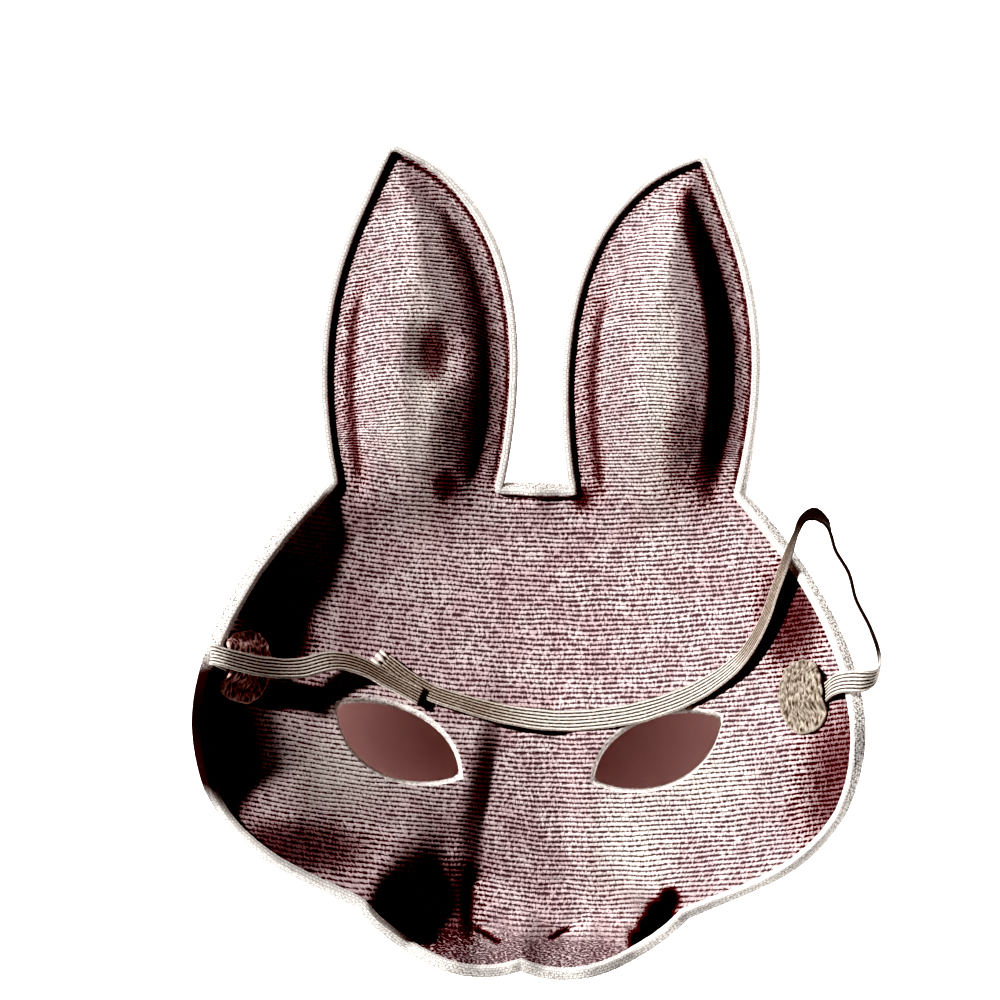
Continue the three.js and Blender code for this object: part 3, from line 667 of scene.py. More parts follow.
def pressed_cloth():
    """Rows, or loose strokes where 'speckle' is 1, paler where light is painted on, and maroon to black
    where shade is painted on.
    """
    made = Finish("pressed_cloth_inside", roughness=0.85)
    cloth = made.cloth()
    painted_light = made.attribute("painted_light")
    painted_shade = made.attribute("painted_shade")
    place = shaken(made, cloth)
    fuzz = made.noise(cloth, 3.0)
    rows = thread_rows(made, cloth, place, painted_light, fuzz)
    strokes = made.noise(made.moved(place, rotation=40, scale=(1.1, 3.4, 1.0)), 1.0, detail=1.5)
    relief = made.blend(made.attribute("speckle"), rows, made.span(strokes, 0.40, 0.64))
    tint = made.blend(0.5, made.span(made.noise(cloth, 0.09, detail=3.0), 0.36, 0.64), fuzz)
    pale = made.mix(tint, THREAD_PINK, THREAD_PALE)
    # painted light: paler, creamier cloth where the light falls brightest
    painted_lighter = made.mix(made.times(painted_light, PAINTED_LIGHT_SHARE), pale, PAINTED_LIGHT_CREAM)
    woven = made.mix(relief, LINE_DARK, painted_lighter)
    # painted shade: maroon over the lines first and then over the threads, black where it is deepest
    shade_cover = made.plus(painted_shade, made.times(made.less(0.6, relief), 0.5))
    shade_share = made.times(made.span(painted_shade, 0.0, 0.3), made.span(shade_cover, 0.15, 0.85))
    shade_painted = made.mix(shade_share, woven, PAINTED_SHADE_MAROON)
    colour = made.mix(made.span(painted_shade, 0.95, 1.25), shade_painted, PAINTED_SHADOW_BLACK)
    height = made.plus(relief, made.times(fuzz, 0.4))
    rough = made.span(fuzz, 0.3, 0.7, 0.75, 0.95)
    return made.finish(colour, height, depth=0.36, roughness=rough)


def outside_cloth():
    """Plain weave of the same yarns on the face side, which the photograph hides."""
    made = Finish("pressed_cloth_outside", roughness=0.8)
    cloth = made.cloth()
    woven, gaps = made.bricks(cloth, OUTSIDE_YARNS, OUTSIDE_GAPS, OUTSIDE_WEAVE)
    cloudy = made.span(made.noise(cloth, 0.06, detail=3.0), 0.3, 0.7)
    worn = made.mix(made.times(cloudy, 0.35), woven, OUTSIDE_WORN)
    height = made.less(made.times(made.noise(cloth, 2.0), 0.5), gaps)
    rough = made.span(cloudy, 0.0, 1.0, 0.7, 0.88)
    return made.finish(worn, height, depth=0.12, roughness=rough)


def cut_edge():
    """White edge of the cut cloth, which shows round the eye holes."""
    made = Finish("cut_cloth_edge", roughness=0.9)
    fibres = made.noise(made.place(), 1600.0, detail=3.0)
    colour = made.mix(made.span(fibres, 0.3, 0.6), *CUT_EDGE_YARNS)
    return made.finish(colour, fibres, depth=0.2)


def tape_cloth():
    """White ribbed tape, with dark needle dots where 'dots' is 1, and painted shade, black, on a stretch
    of its left edge.
    """
    made = Finish("white_tape", roughness=0.85)
    cloth = made.cloth()
    woven, gaps = made.bricks(cloth, TAPE_YARNS, TAPE_GAPS, TAPE_WEAVE)
    speck = made.span(made.noise(made.moved(cloth, scale=(1.4, 1.0, 1.0)), 1.5, detail=1.0), 0.50, 0.60)
    dark = made.times(made.times(speck, made.attribute("dots")), 0.8)
    dotted = made.mix(dark, woven, TAPE_DOT)
    colour = made.mix(made.attribute("painted_shade"), dotted, TAPE_PAINTED_SHADOW)
    height = made.less(made.times(made.noise(cloth, 0.6), 0.6), gaps)
    return made.finish(colour, height, depth=0.1)


def elastic_cloth():
    """Cream ribs with brown dashed gaps, stained brown where 'stain' is 1, and painted shade, near black,
    on the loop.
    """
    made = Finish("elastic", roughness=0.7)
    cloth = made.cloth()
    dashes = made.noise(made.moved(cloth, scale=(0.9, 3.0, 1.0)), 1.0)
    weave = made.noise(made.moved(cloth, scale=(2.2, 4.0, 1.0)), 1.0)
    light = made.span(weave, 0.3, 0.7)
    cream = made.mix(light, *ELASTIC_CREAM)
    rib = made.mix(made.attribute("stain"), cream, made.mix(light, *ELASTIC_BROWN))
    dark = made.times(made.attribute("groove"), made.span(dashes, 0.32, 0.50, 0.55, 1.0))
    grooved = made.mix(dark, rib, ELASTIC_GAP)
    colour = made.mix(made.attribute("painted_shade"), grooved, ELASTIC_PAINTED_SHADOW)
    return made.finish(colour, weave, depth=0.12)


def matted_cloth(name, pit, strand):
    """Matted fibres over dark pits, paler at the rim: partly the cut edge, partly a painted highlight."""
    made = Finish(name, roughness=0.92)
    cloth = made.cloth()
    mat = made.noise(made.moved(cloth, rotation=25, scale=(1.3, 0.7, 1.0)), 0.8, detail=5.0)
    cross = made.noise(made.moved(cloth, rotation=-50, scale=(1.3, 0.7, 1.0)), 0.7, detail=5.0)
    fibre = made.math("MAXIMUM", mat, cross)
    light = made.math("MAXIMUM", made.span(fibre, 0.40, 0.68), made.attribute("rim"))
    return made.finish(made.mix(light, pit, strand), fibre, depth=0.8)


def floor_finish():
    made = Finish("floor", roughness=0.9)
    cloudy = made.noise(made.place(), 1.5)
    made.connect(made.shader.inputs["Base Color"], made.mix(cloudy, *FLOOR_GREYS))
    return made.material


# Meshes

def add_object(name, data):
    made = bpy.data.objects.new(name, data)
    bpy.context.scene.collection.objects.link(made)
    return made


def add_mesh(name, points, faces, materials):
    mesh = bpy.data.meshes.new(name)
    mesh.from_pydata((points * MM).tolist(), [], faces)
    for made in materials:
        mesh.materials.append(made)
    return add_object(name, mesh)


def add_piece(name, points, faces, materials, replaced, attributes, face_materials=None):
    piece = add_mesh(name, points, faces, materials)
    mesh = piece.data
    if face_materials is not None:
        mesh.polygons.foreach_set("material_index", np.asarray(face_materials, np.int32))
    for key, values in attributes.items():
        kind, field = ("FLOAT_VECTOR", "vector") if values.ndim == 2 else ("FLOAT", "value")
        kept = mesh.attributes.new(key, kind, "POINT")
        kept.data.foreach_set(field, values.astype(np.float32).ravel())
    mesh.shade_smooth()
    mesh.update()
    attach(piece, BODY)
    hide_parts(*replaced)
    return piece


def later(faces, first):
    """Faces whose points come after the first ones of a mesh."""
    return [tuple(first + k for k in face) for face in faces]


def swept_faces(rings, sides, closed):
    """Four-sided faces over rings of points, and two end caps unless the sweep closes on itself."""
    faces = []
    for i in range(rings if closed else rings - 1):
        here = i * sides
        there = (i + 1) % rings * sides
        for j in range(sides):
            k = (j + 1) % sides
            faces.append((here + j, here + k, there + k, there + j))
    if not closed:
        faces.append(tuple(range(sides))[::-1])
        faces.append(tuple(range((rings - 1) * sides, rings * sides)))
    return faces


def make_camera():
    camera = bpy.data.cameras.new("camera")
    camera.sensor_width = SENSOR
    camera.lens = SENSOR * VIEW_DEPTH / VIEW_WIDTH
    camera.clip_end = VIEW_LIMIT * MM
    holder = add_object("camera", camera)
    holder.location = [value * MM for value in CAMERA_PLACE]
    holder.rotation_euler = (0.0, 0.0, math.radians(CAMERA_ROLL))
    bpy.context.scene.camera = holder


# Flat elastic

def smooth_route(rows, step):
    """Centripetal Catmull-Rom curve through a route: centres and width directions, evenly spaced."""
    rows = np.array(rows, float)
    places = rows[:, :3]
    side = np.radians(rows[:, 3])
    tilt = np.radians(rows[:, 4])
    widths = np.stack([np.cos(side) * np.cos(tilt), np.sin(side) * np.cos(tilt), np.sin(tilt)], axis=-1)
    before = 2 * places[0] - places[1]
    after = 2 * places[-1] - places[-2]
    knots = np.vstack([before, places, after])
    t = np.linspace(0.0, 1.0, ROUTE_STEPS, endpoint=False)[:, None]
    centres = []
    turned = []
    for i in range(len(places) - 1):
        p0, p1, p2, p3 = knots[i:i + 4]
        d0, d1, d2 = (math.dist(a, b) ** 0.5 for a, b in ((p0, p1), (p1, p2), (p2, p3)))
        leave = ((p1 - p0) / d0 - (p2 - p0) / (d0 + d1) + (p2 - p1) / d1) * d1
        arrive = ((p2 - p1) / d1 - (p3 - p1) / (d1 + d2) + (p3 - p2) / d2) * d1
        centres.append(hermite(t, p1, p2, leave, arrive))
        turned.append(mixed(widths[i], widths[i + 1], t))
    centres = np.vstack([*centres, places[-1]])
    turned = np.vstack([*turned, widths[-1]])
    lengths = length_along(centres)
    even = np.linspace(0.0, lengths[-1], round(lengths[-1] / step) + 1)
    centres = read_off(even, lengths, centres)
    turned = read_off(even, lengths, turned)
    along = unit(np.gradient(centres, axis=0))
    across = unit(turned - along * np.sum(turned * along, axis=1, keepdims=True))
    return centres, along, across, even


def rib_section():
    """Points round the elastic: place across, height, and how deep in a groove."""
    share = np.linspace(0.0, 1.0, STRAP["ribs"] * RIB["points"] + 1)
    ridge = np.abs(np.sin(math.pi * STRAP["ribs"] * share))
    height = STRAP["thickness"] / 2 * mixed(RIB["groove_height"], 1.0, ridge ** RIB["rounding"])
    groove = 1.0 - ramp(RIB, ridge, "groove_from", "groove_to")
    groove[[0, -1]] = 0.0
    across = (share - 0.5) * STRAP["width"]
    top = np.stack([across, height, groove], axis=-1)
    foot = np.stack([across, -height, groove], axis=-1)[::-1]
    return np.vstack([top, foot])[::-1]


def add_prongs(centre, along, across, face):
    """Points, faces and places on the cloth of the frayed ribs."""
    points = []
    places = []
    faces = []
    for offset, width, reach, rise in PRONGS:
        faces += later(swept_faces(2, 4, closed=False), len(points))
        for back, lift in ((reach, rise), (-PRONG["root"], 0.0)):
            for side, up in ((-1, -1), (1, -1), (1, 1), (-1, 1)):
                beside = offset + side * width / 2
                above = lift + up * PRONG["thickness"] / 2
                points.append(centre - along * back + across * beside + face * above)
                places.append((-back, beside, 0.0))
    return np.array(points), np.array(places), faces


def strap_marks(centres, across):
    """Brown stain, and the painted shade of the loop, near black, of the elastic at each ring and each
    place across it.
    """
    x = centres[:, 0]
    y = centres[:, 1]
    stain = STAIN_SHARE * plateau(STAIN_SPAN, x)
    rise = STAIN_RISE["share"] * ramp(STAIN_RISE, x, "from", "to") * ramp(STAIN_RISE, y)
    over_ribs = mixed(STAIN_EDGE["share"], 1.0, ramp(STAIN_EDGE, np.abs(across), "clean", "full"))
    painted_shade = LOOP_PAINTED_SHADE["share"] * ramp(LOOP_PAINTED_SHADE, x, "from", "to") * ramp(LOOP_PAINTED_SHADE, y)
    return np.outer(np.maximum(stain, rise), over_ribs), np.outer(painted_shade, np.ones_like(across))


def make_strap(name, route, node, frayed=False):
    """Flat elastic swept along its route, with frayed ribs at its first end when frayed is true."""
    centres, along, across, run = smooth_route(route, STRAP["step"])
    face = np.cross(along, across)
    section = rib_section()
    wave = 1.0 + wander(STRAP_WAVE, run, 0 * run)
    points = (centres[:, None] + across[:, None] * (section[None, :, :1] * wave[:, None, None])
              + face[:, None] * section[None, :, 1:2])
    rings, sides = points.shape[:2]
    points = points.reshape(-1, 3)
    faces = swept_faces(rings, sides, closed=False)
    cloth = np.stack(np.broadcast_arrays(run[:, None], section[None, :, 0], 0.0), axis=-1).reshape(-1, 3)
    stain, painted_shade = strap_marks(centres, section[:, 0])
    marks = {"groove": np.tile(section[:, 2], rings), "stain": stain.ravel(), "painted_shade": painted_shade.ravel()}
    if frayed:
        prong_points, prong_places, prong_faces = add_prongs(centres[0], along[0], across[0], face[0])
        faces += later(prong_faces, len(points))
        points = np.vstack([points, prong_points])
        cloth = np.vstack([cloth, prong_places])
        marks = {key: np.append(mark, np.zeros(len(prong_points))) for key, mark in marks.items()}
    piece = add_piece(name, points, faces, [ELASTIC], [node], {"cloth": cloth, **marks})
    return piece


# Cloth wall

def cloth_rows():
    """Places of the sample rows in plan, and how many threads lie below each."""
    table = np.arange(*ROW_RANGE, ROW_TABLE_STEP)
    period = mixed(ROW_PERIOD["face"], ROW_PERIOD["ear"], ramp(ROW_PERIOD, table))
    threads = np.cumsum(ROW_TABLE_STEP / period)
    wanted = np.arange(threads[0], threads[-1], 1.0 / SAMPLES_PER_ROW)
    return np.interp(wanted, threads, table), wanted


def thread_bend(x, row):
    """How far a thread runs above its row's place: up at both sides, arched over each ear."""
    face = FACE_BEND * x**2
    ear = EAR_BEND["rate"] * (np.abs(x) - EAR_BEND["middle"]) ** 2
    beside_nose = np.clip(NOSE_BEND["x"] - x, 0.0, NOSE_BEND["reach"])
    near_nose = hill(row - NOSE_BEND["y"], NOSE_BEND["spread"])
    return mixed(face, ear, ramp(EAR_BEND, row)) + NOSE_BEND["slope"] * beside_nose * near_nose


def cut_grid(inside, fields):
    """Faces of a grid where 'inside' is positive, cut along its zero line.

    Returns the fields at the kept points, the faces, and the cut's edges as a map from point to point.
    """
    keep = inside > 0
    number = np.full(inside.shape, -1)
    number[keep] = np.arange(np.count_nonzero(keep))
    values = [field[keep] for field in fields]
    extra = [[] for _ in fields]
    crossing = {}

    def cross(a, b):
        key = (a, b) if a < b else (b, a)
        if key not in crossing:
            share = inside[a] / (inside[a] - inside[b])
            crossing[key] = len(values[0]) + len(crossing)
            for kept, field in zip(extra, fields):
                kept.append(field[a] + share * (field[b] - field[a]))
        return crossing[key]

    corners = np.stack([keep[:-1, :-1], keep[:-1, 1:], keep[1:, 1:], keep[1:, :-1]]).sum(axis=0)
    j, i = np.nonzero(corners == 4)
    whole = np.stack([number[j, i], number[j, i + 1], number[j + 1, i + 1], number[j + 1, i]], axis=-1)
    faces = [tuple(face) for face in whole.tolist()]
    follow = {}
    for j, i in np.argwhere((corners > 0) & (corners < 4)).tolist():
        around = ((j, i), (j, i + 1), (j + 1, i + 1), (j + 1, i))
        face = []
        cuts = []
        for a, b in zip(around, around[1:] + around[:1]):
            if keep[a]:
                face.append(int(number[a]))
            if keep[a] != keep[b]:
                point = cross(a, b)
                face.append(point)
                cuts.append((point, bool(keep[a])))
        for k, (point, leaving) in enumerate(cuts):
            if leaving:
                follow[point] = cuts[(k + 1) % len(cuts)][0]
        if len(face) >= 3:
            faces.append(tuple(face))
    fields_cut = [np.concatenate([kept, np.array(more)]) for kept, more in zip(values, extra)]
    return fields_cut, faces, follow


def loops_of(follow):
    """Closed loops of the cut's points, in order."""
    left = dict(follow)
    loops = []
    while left:
        first = next(iter(left))
        loop = [first]
        at = left.pop(first)
        while at != first:
            loop.append(at)
            at = left.pop(at)
        loops.append(loop)
    return loops


def zip_loops(upper, upper_run, lower, lower_run, total):
    """Triangles between two loops that follow the same line, by the length along it."""
    def in_order(loop, run):
        steps = (np.diff(np.append(run, run[0])) + total / 2) % total - total / 2
        forward = run if steps.sum() > 0 else total - run
        start = int(np.argmin(forward))
        order = np.roll(np.arange(len(loop)), -start)
        sorted_run = np.maximum.accumulate(forward[order])
        return [loop[k] for k in order] + [loop[order[0]]], np.append(sorted_run, total + sorted_run[0])

    upper, upper_run = in_order(upper, upper_run)
    lower, lower_run = in_order(lower, lower_run)
    faces = []
    i = 0
    j = 0
    while i + 1 < len(upper) or j + 1 < len(lower):
        step_up = j + 1 == len(lower) or (i + 1 < len(upper) and upper_run[i + 1] <= lower_run[j + 1])
        if step_up:
            faces.append((upper[i], lower[j], upper[i + 1]))
            i += 1
        else:
            faces.append((upper[i], lower[j], lower[j + 1]))
            j += 1
    return faces


def painted_shade_share(places, x, y):
    """How dark the painted shade is, from places given by middle, half size and darkness."""
    spots = []
    for (middle_x, middle_y), (half_x, half_y), darkness in places:
        away = ((x - middle_x) / half_x) ** 2 + ((y - middle_y) / half_y) ** 2
        spots.append(darkness * hill(away, 1.0))
    return np.max(spots, axis=0)


# Painted light: paler cloth at the listed places
def painted_light_share(x, y):
    spots = []
    for (middle_x, middle_y), (half_x, half_y) in PAINTED_LIGHT_SPOTS:
        spots.append(hill(x - middle_x, half_x) * hill(y - middle_y, half_y))
    return np.max(spots, axis=0)


def nostril_creases(x, y):
    gaps = [nearest_on(np.array(ends), x, y, closed=False)[0] for ends in NOSTRILS]
    return hill(np.min(gaps, axis=0), NOSTRIL_CREASE["half"])


def ear_edge_forms(x, y):
    """Creases along the ears' edges, and painted shade in them and on each ear's +X flank, which turns
    from the light.
    """
    gap = nearest_on(EAR_EDGE, np.abs(x), y, closed=False)[0]
    on_ear = ramp(EAR_SHADE, y)
    groove = hill(gap - EAR_GROOVE["gap"], EAR_GROOVE["half"]) * on_ear
    crease = hill(gap - EAR_CREASE["gap"], EAR_CREASE["half"]) * on_ear
    depth = np.maximum(EAR_GROOVE["depth"] * groove, EAR_CREASE["depth"] * crease)
    dark = np.maximum(groove, EAR_CREASE["dark"] * crease * ramp(EAR_CREASE, y))
    right_side = np.where(x > 0, x - EAR_FLANK["middle"], x + EAR_FLANK["middle"])
    flank = plateau(EAR_SHADE, gap) * on_ear * eased(0.0, EAR_FLANK["fade"], right_side)
    amid = hill(y - EAR_HEART["y"], EAR_HEART["half"])
    full = np.where(x > 0, EAR_HEART["rest"] + EAR_HEART["more"] * amid, EAR_HEART["left"])
    return depth, np.maximum(dark, full * flank)


def inner_face():
    """Fine grid along the threads, with the rib of each thread in its shape."""
    rows, threads = cloth_rows()
    columns = np.arange(-COLUMN_REACH, COLUMN_REACH + COLUMN_STEP / 2, COLUMN_STEP)
    x, row = np.meshgrid(columns, rows)
    thread = np.broadcast_to(threads[:, None], x.shape)
    y = row + thread_bend(x, row)
    z = height_at(x, y)
    steps = np.hypot(np.diff(x, axis=1), np.hypot(np.diff(y, axis=1), np.diff(z, axis=1)))
    run = np.concatenate([np.zeros((len(rows), 1)), np.cumsum(steps, axis=1)], axis=1)
    run = run - run[:, len(columns) // 2][:, None]
    fields, faces, follow = cut_grid(room_inside(x, y, EYE_BEVEL), [x, y, thread, run])
    x, y, thread, run = fields
    thread = thread + wander(ROW_WANDER, x, y)
    normal = normal_at(x, y)
    lip_y = y + wander(LIP_WANDER, x, y)
    speckle = np.maximum(ramp(LIP_BAND, lip_y), ramp(STEEP, 1.0 - normal[:, 2], "from", "to"))
    rib = RIB_HEIGHT * (0.5 + 0.5 * np.cos(2 * math.pi * thread)) * (1.0 - LOOSE_FLATTENING * speckle)
    crease = nostril_creases(x, y)
    ear_crease, ear_painted_shade = ear_edge_forms(x, y)
    # painted shade: the listed spots, the ears' creases and flanks, and the nostril creases
    painted_shade = np.maximum(np.maximum(painted_shade_share(PAINTED_SHADE_SPOTS, x, y), ear_painted_shade), NOSTRIL_CREASE["dark"] * crease)
    lift = WALL / 2 - RIB_HEIGHT / 2 + rib - NOSTRIL_CREASE["depth"] * crease - ear_crease
    points = on_wall(x, y) + normal * lift[:, None]
    cloth = np.stack([run, (thread + 0.5) * ROW_PERIOD["face"], np.zeros_like(run)], axis=-1)
    marks = {"speckle": speckle, "painted_light": painted_light_share(x, y), "painted_shade": painted_shade}
    return points, faces, follow, (x, y), cloth, marks


def outer_face():
    places = np.arange(-OUTER_REACH, OUTER_REACH, OUTER_STEP)
    columns = np.arange(-COLUMN_REACH, COLUMN_REACH, OUTER_STEP)
    x, y = np.meshgrid(columns, places)
    (x, y), faces, follow = cut_grid(room_inside(x, y, 0.0), [x, y])
    points = on_wall(x, y) - normal_at(x, y) * (WALL / 2)
    return points, [face[::-1] for face in faces], follow, (x, y)


def loops_by_line(loops, plan):
    """Loops of the cut by the number of the line that each follows, the edge first, then the eyes."""
    lines = [EDGE, *EYES]
    sorted_loops = {}
    for loop in loops:
        found = [nearest_on(line, plan[0][loop], plan[1][loop]) for line in lines]
        nearest = min(range(len(lines)), key=lambda k: found[k][0].mean())
        sorted_loops[nearest] = (loop, found[nearest][1], found[nearest][2])
    return sorted_loops


def make_shell():
    points, faces, follow, plan, cloth, marks = inner_face()
    outer_points, outer_faces, outer_follow, outer_plan = outer_face()
    below = len(points)
    upper = loops_by_line(loops_of(follow), plan)
    lower = loops_by_line(loops_of(outer_follow), outer_plan)
    rim = []
    for key, (loop, run, total) in upper.items():
        below_loop = [below + k for k in lower[key][0]]
        rim += zip_loops(loop, run, below_loop, lower[key][1], total)
    unmarked = np.zeros(len(outer_points))
    outer_cloth = np.stack([*outer_plan, unmarked], axis=-1)
    attributes = {"cloth": np.vstack([cloth, outer_cloth])}
    for key, mark in marks.items():
        attributes[key] = np.concatenate([mark, unmarked])
    kinds = np.repeat([0, 1, 2], [len(faces), len(rim), len(outer_faces)])
    points = np.vstack([points, outer_points])
    faces = faces + rim + later(outer_faces, below)
    materials = [pressed_cloth(), cut_edge(), outside_cloth()]
    return add_piece("shell_cloth", points, faces, materials, ["mask_shell"],
                     attributes, kinds)


# Folded tape

def tape_section(y, swell):
    """Points round the folded tape: outward from the wall's edge, and out of the wall."""
    on_face = ramp(LIP_TRIM, y)
    face_leg = mixed(LEG["lip"], LEG["temple"], on_face)
    leg = mixed(mixed(face_leg, LEG["ear"], ramp(EAR_TRIM, y)), LEG["tip"], ramp(TIP_TRIM, y))
    inside = WALL / 2 + TAPE_CLEARANCE
    outside = inside + TAPE
    edge = TAPE_CLEARANCE + TAPE
    roll = mixed(ROLL["lip"], ROLL["ear"], on_face) * swell
    slot = [(-leg, -inside), (TAPE_CLEARANCE, -inside), (TAPE_CLEARANCE, inside)]
    angles = np.linspace(math.pi, 0.0, ROLL_POINTS)
    across = np.copysign(np.abs(np.cos(angles)) ** ROLL_SQUARENESS, np.cos(angles))
    rise = np.sin(angles) ** ROLL_SQUARENESS
    over = np.stack([(edge - leg) / 2 + (edge + leg) / 2 * across, inside + roll * rise], axis=-1)
    angles = np.linspace(0.0, math.pi / 2, CORNER_POINTS)
    turn_out = edge - TAPE_ROUNDING * (1 - np.cos(angles))
    turn_down = TAPE_ROUNDING * (1 - np.sin(angles)) - outside
    turn = np.stack([turn_out, turn_down], axis=-1)
    back = [((edge - leg) / 2, -outside), (-leg, -outside)]
    return np.vstack([slot, over, turn, back])


def make_binding():
    closed = np.vstack([EDGE, EDGE[:1]])
    lengths = length_along(closed)
    total = lengths[-1]
    count = round(total / TRIM_STEP)
    run = np.arange(count) * total / count
    here = read_off(run, lengths, closed)
    ahead = read_off((run + TRIM_SPAN) % total, lengths, closed)
    back = read_off((run - TRIM_SPAN) % total, lengths, closed)
    along = unit(on_wall(*ahead.T) - on_wall(*back.T))
    inward = unit(np.stack([back[:, 1] - ahead[:, 1], ahead[:, 0] - back[:, 0]], axis=-1))
    within = here + TRIM_INSET * inward
    outward = unit(np.cross(along, normal_at(*within.T)))
    off_cloth = np.cross(outward, along)
    uneven = wander(TAPE_SWELL, run, 0 * run)
    beads = TAPE_BEADS["share"] * np.sin(2 * math.pi * run / TAPE_BEADS["pitch"])
    rings = []
    widths = []
    for k, centre in enumerate(on_wall(*here.T)):
        section = tape_section(here[k, 1], 1.0 + uneven[k] + beads[k])
        rings.append(centre + section[:, :1] * outward[k] + section[:, 1:] * off_cloth[k])
        widths.append(length_along(section))
    sides = len(rings[0])
    cloth = np.stack([np.repeat(run, sides), np.concatenate(widths), np.zeros(count * sides)], axis=-1)
    beside = np.abs(np.arange(sides) - (SLOT_POINTS + (ROLL_POINTS - 1) / 2))
    none, full = DOT_SPAN["edge"]
    at_edge = eased(ROLL_POINTS / 2 - none, ROLL_POINTS / 2 - full, beside)
    on_face = eased(*DOT_SPAN["low"], here[:, 1]) * (1.0 - eased(*DOT_SPAN["high"], here[:, 1]))
    dots = np.outer(mixed(DOT_SPAN["elsewhere"], 1.0, on_face), at_edge).ravel()
    # painted shade on the left edge
    painted_shade = np.repeat(painted_shade_share(TAPE_PAINTED_SHADE, here[:, 0], here[:, 1]), sides)
    faces = swept_faces(count, sides, closed=True)
    return add_piece("edge_tape", np.vstack(rings), faces, [tape_cloth()], ["edge_binding"],
                     {"cloth": cloth, "dots": dots, "painted_shade": painted_shade})


# Round patches

def patch_faces(rings, sectors):
    """Faces of a thick disc: the points of its foot, a middle and then rings, and as many above them."""
    above = 1 + rings * sectors
    outermost = above - sectors
    around = [(j, (j + 1) % sectors) for j in range(sectors)]
    foot = later([(-1, k, j) for j, k in around] + swept_faces(rings, sectors, closed=False)[:-2], 1)
    top = [face[:1] + face[:0:-1] for face in later(foot, above)]
    rim = later([(j, k, above + k, above + j) for j, k in around], outermost)
    return foot + top + rim


def make_patch(node, place, cloth_finish):
    rings = PATCH["rings"]
    sectors = PATCH["sectors"]
    mirror = math.copysign(1.0, place["x"])
    lean = normal_at(np.array([place["x"]]), np.array([place["y"]]))[0, 2]
    turn = math.radians(place["turn"])
    ring, sector = np.meshgrid(np.arange(1, rings + 1), np.arange(sectors), indexing="ij")
    share = ring / rings
    angle = mirror * 2 * math.pi * sector / sectors
    round_x = FRAY["radius"] * np.cos(angle)
    round_y = FRAY["radius"] * np.sin(angle)
    ragged = 1.0 + wander(FRAY, round_x, round_y) * share ** FRAY["power"]
    radius = PATCH["radius"] * share * ragged
    out = np.append(0.0, radius * np.cos(angle))
    along = np.append(0.0, radius * np.sin(angle))
    lobes = ramp(PATCH_TUNNEL, np.abs(along), "lobes", "foot") * (out > 0)
    out = out * (1.0 + place["widening"] * lobes)
    ahead = out * math.cos(turn) + along * math.sin(turn)
    aside = along * math.cos(turn) - out * math.sin(turn)
    beside = 1.0 - ramp(PATCH_TUNNEL, np.abs(aside), "flat", "foot")
    tunnel = beside * ramp(PATCH_TUNNEL, ahead, "from_out", "to_out")
    seat = WALL / 2 + WALL_CLEARANCE + PATCH_TUNNEL["rise"] * tunnel
    thinning = PATCH_THINNING["share"] * share.ravel() ** PATCH_THINNING["power"]
    thick = PATCH["thickness"] * np.append(1.0, 1.0 - thinning)
    for crumple in CRUMPLES:
        thick = thick + wander(crumple, out, along * crumple["stretch"])
    x = place["x"] + mirror * out * lean
    y = place["y"] + along
    normal = normal_at(x, y)
    low = on_wall(x, y) + normal * seat[:, None]
    high = low + normal * thick[:, None]
    cloth = np.tile(np.stack([out, along, np.zeros_like(out)], axis=-1), (2, 1))
    # paler rim: the cut edge and a painted highlight, but not over the elastic's tunnel
    cut = np.append(0.0, eased(PATCH_RIM, 1.0, share).ravel())
    rim = np.tile(cut * (1.0 - tunnel), 2)
    return add_piece(node + "_cloth", np.vstack([low, high]), patch_faces(rings, sectors), [cloth_finish],
                     [node], {"cloth": cloth, "rim": rim})


# Stage

def add_floor(name, points, faces, material):
    floor = add_mesh(name, points, faces, [material])
    return floor


def floor_ring(form):
    angles = np.arange(FLOOR_STEPS) * 2 * math.pi / FLOOR_STEPS
    x = form["x"] + form["half_x"] * np.cos(angles)
    y = form["y"] + form["half_y"] * np.sin(angles)
    return np.stack([x, y, np.zeros(FLOOR_STEPS)], axis=-1)


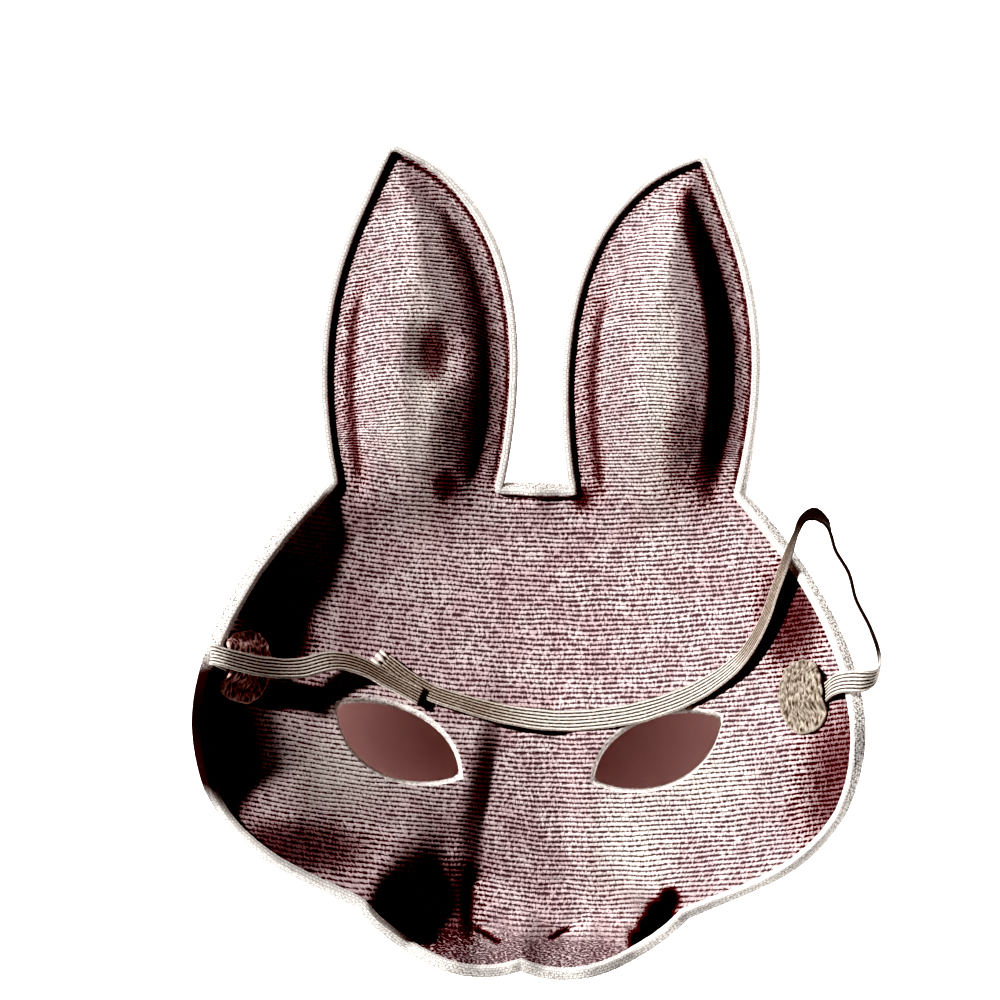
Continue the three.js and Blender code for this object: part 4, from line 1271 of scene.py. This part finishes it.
def make_floor():
    """One pale floor in two pieces: round the mask, and below it, where no light is aimed."""
    rim = floor_ring(FLOOR_BELOW)
    between = swept_faces(2, FLOOR_STEPS, closed=False)[:FLOOR_STEPS]
    material = floor_finish()
    round_mask = add_floor("floor", np.vstack([floor_ring(FLOOR_FAR), rim]), between, material)
    add_floor("floor_below", rim, [tuple(range(FLOOR_STEPS))], material)
    return round_mask


def add_sun(name, sun, azimuth):
    """Sun from a compass direction in plan, counted from +X towards +Y."""
    light = bpy.data.lights.new(name, "SUN")
    light.energy = sun["strength"]
    light.angle = math.radians(sun["spread"])
    holder = add_object(name, light)
    holder.rotation_euler = (0.0, math.radians(90.0 - sun["elevation"]), math.radians(azimuth))
    return holder


def light_only(objects, lights):
    receivers = bpy.data.collections.new(lights[0].name + "_receivers")
    for lit in objects:
        receivers.objects.link(lit)
    for light in lights:
        light.light_linking.receiver_collection = receivers


def make_world():
    """Dim fill from all round, and a white background where the camera looks past the floor."""
    world = bpy.data.worlds.new("studio")
    bpy.context.scene.world = world
    world.use_nodes = True
    tree = world.node_tree
    background = tree.nodes["Background"]
    background.inputs["Color"].default_value = WORLD_TINT
    path = tree.nodes.new("ShaderNodeLightPath")
    strength = tree.nodes.new("ShaderNodeMix")
    strength.inputs[2].default_value = WORLD_FILL
    strength.inputs[3].default_value = 1.0
    tree.links.new(path.outputs["Is Camera Ray"], strength.inputs[0])
    tree.links.new(strength.outputs[0], background.inputs["Strength"])


def light_stage(pieces):
    """A key light for the mask, four lights that keep the floor round it pale, and strong contrast."""
    floor = make_floor()
    light_only(pieces, [add_sun("key", KEY_SUN, KEY_AZIMUTH)])
    light_only([floor], [add_sun("floor_light", FLOOR_SUN, azimuth) for azimuth in FLOOR_AZIMUTHS])
    make_world()
    view = bpy.context.scene.view_settings
    view.view_transform = "Standard"
    view.look = "High Contrast"
    view.use_curve_mapping = True
    view.curve_mapping.black_level = BLACK_LEVEL


# The whole mask

make_camera()
ELASTIC = elastic_cloth()
pieces = [
    make_strap("elastic_short", SHORT_ROUTE, "strap_short"),
    make_strap("elastic_long", LONG_ROUTE, "strap_long", frayed=True),
    make_shell(),
    make_binding(),
]
for patch_node, patch_place in PATCH_PLACES.items():
    pieces.append(make_patch(patch_node, patch_place, matted_cloth(*PATCH_YARNS[patch_node])))
light_stage(pieces)
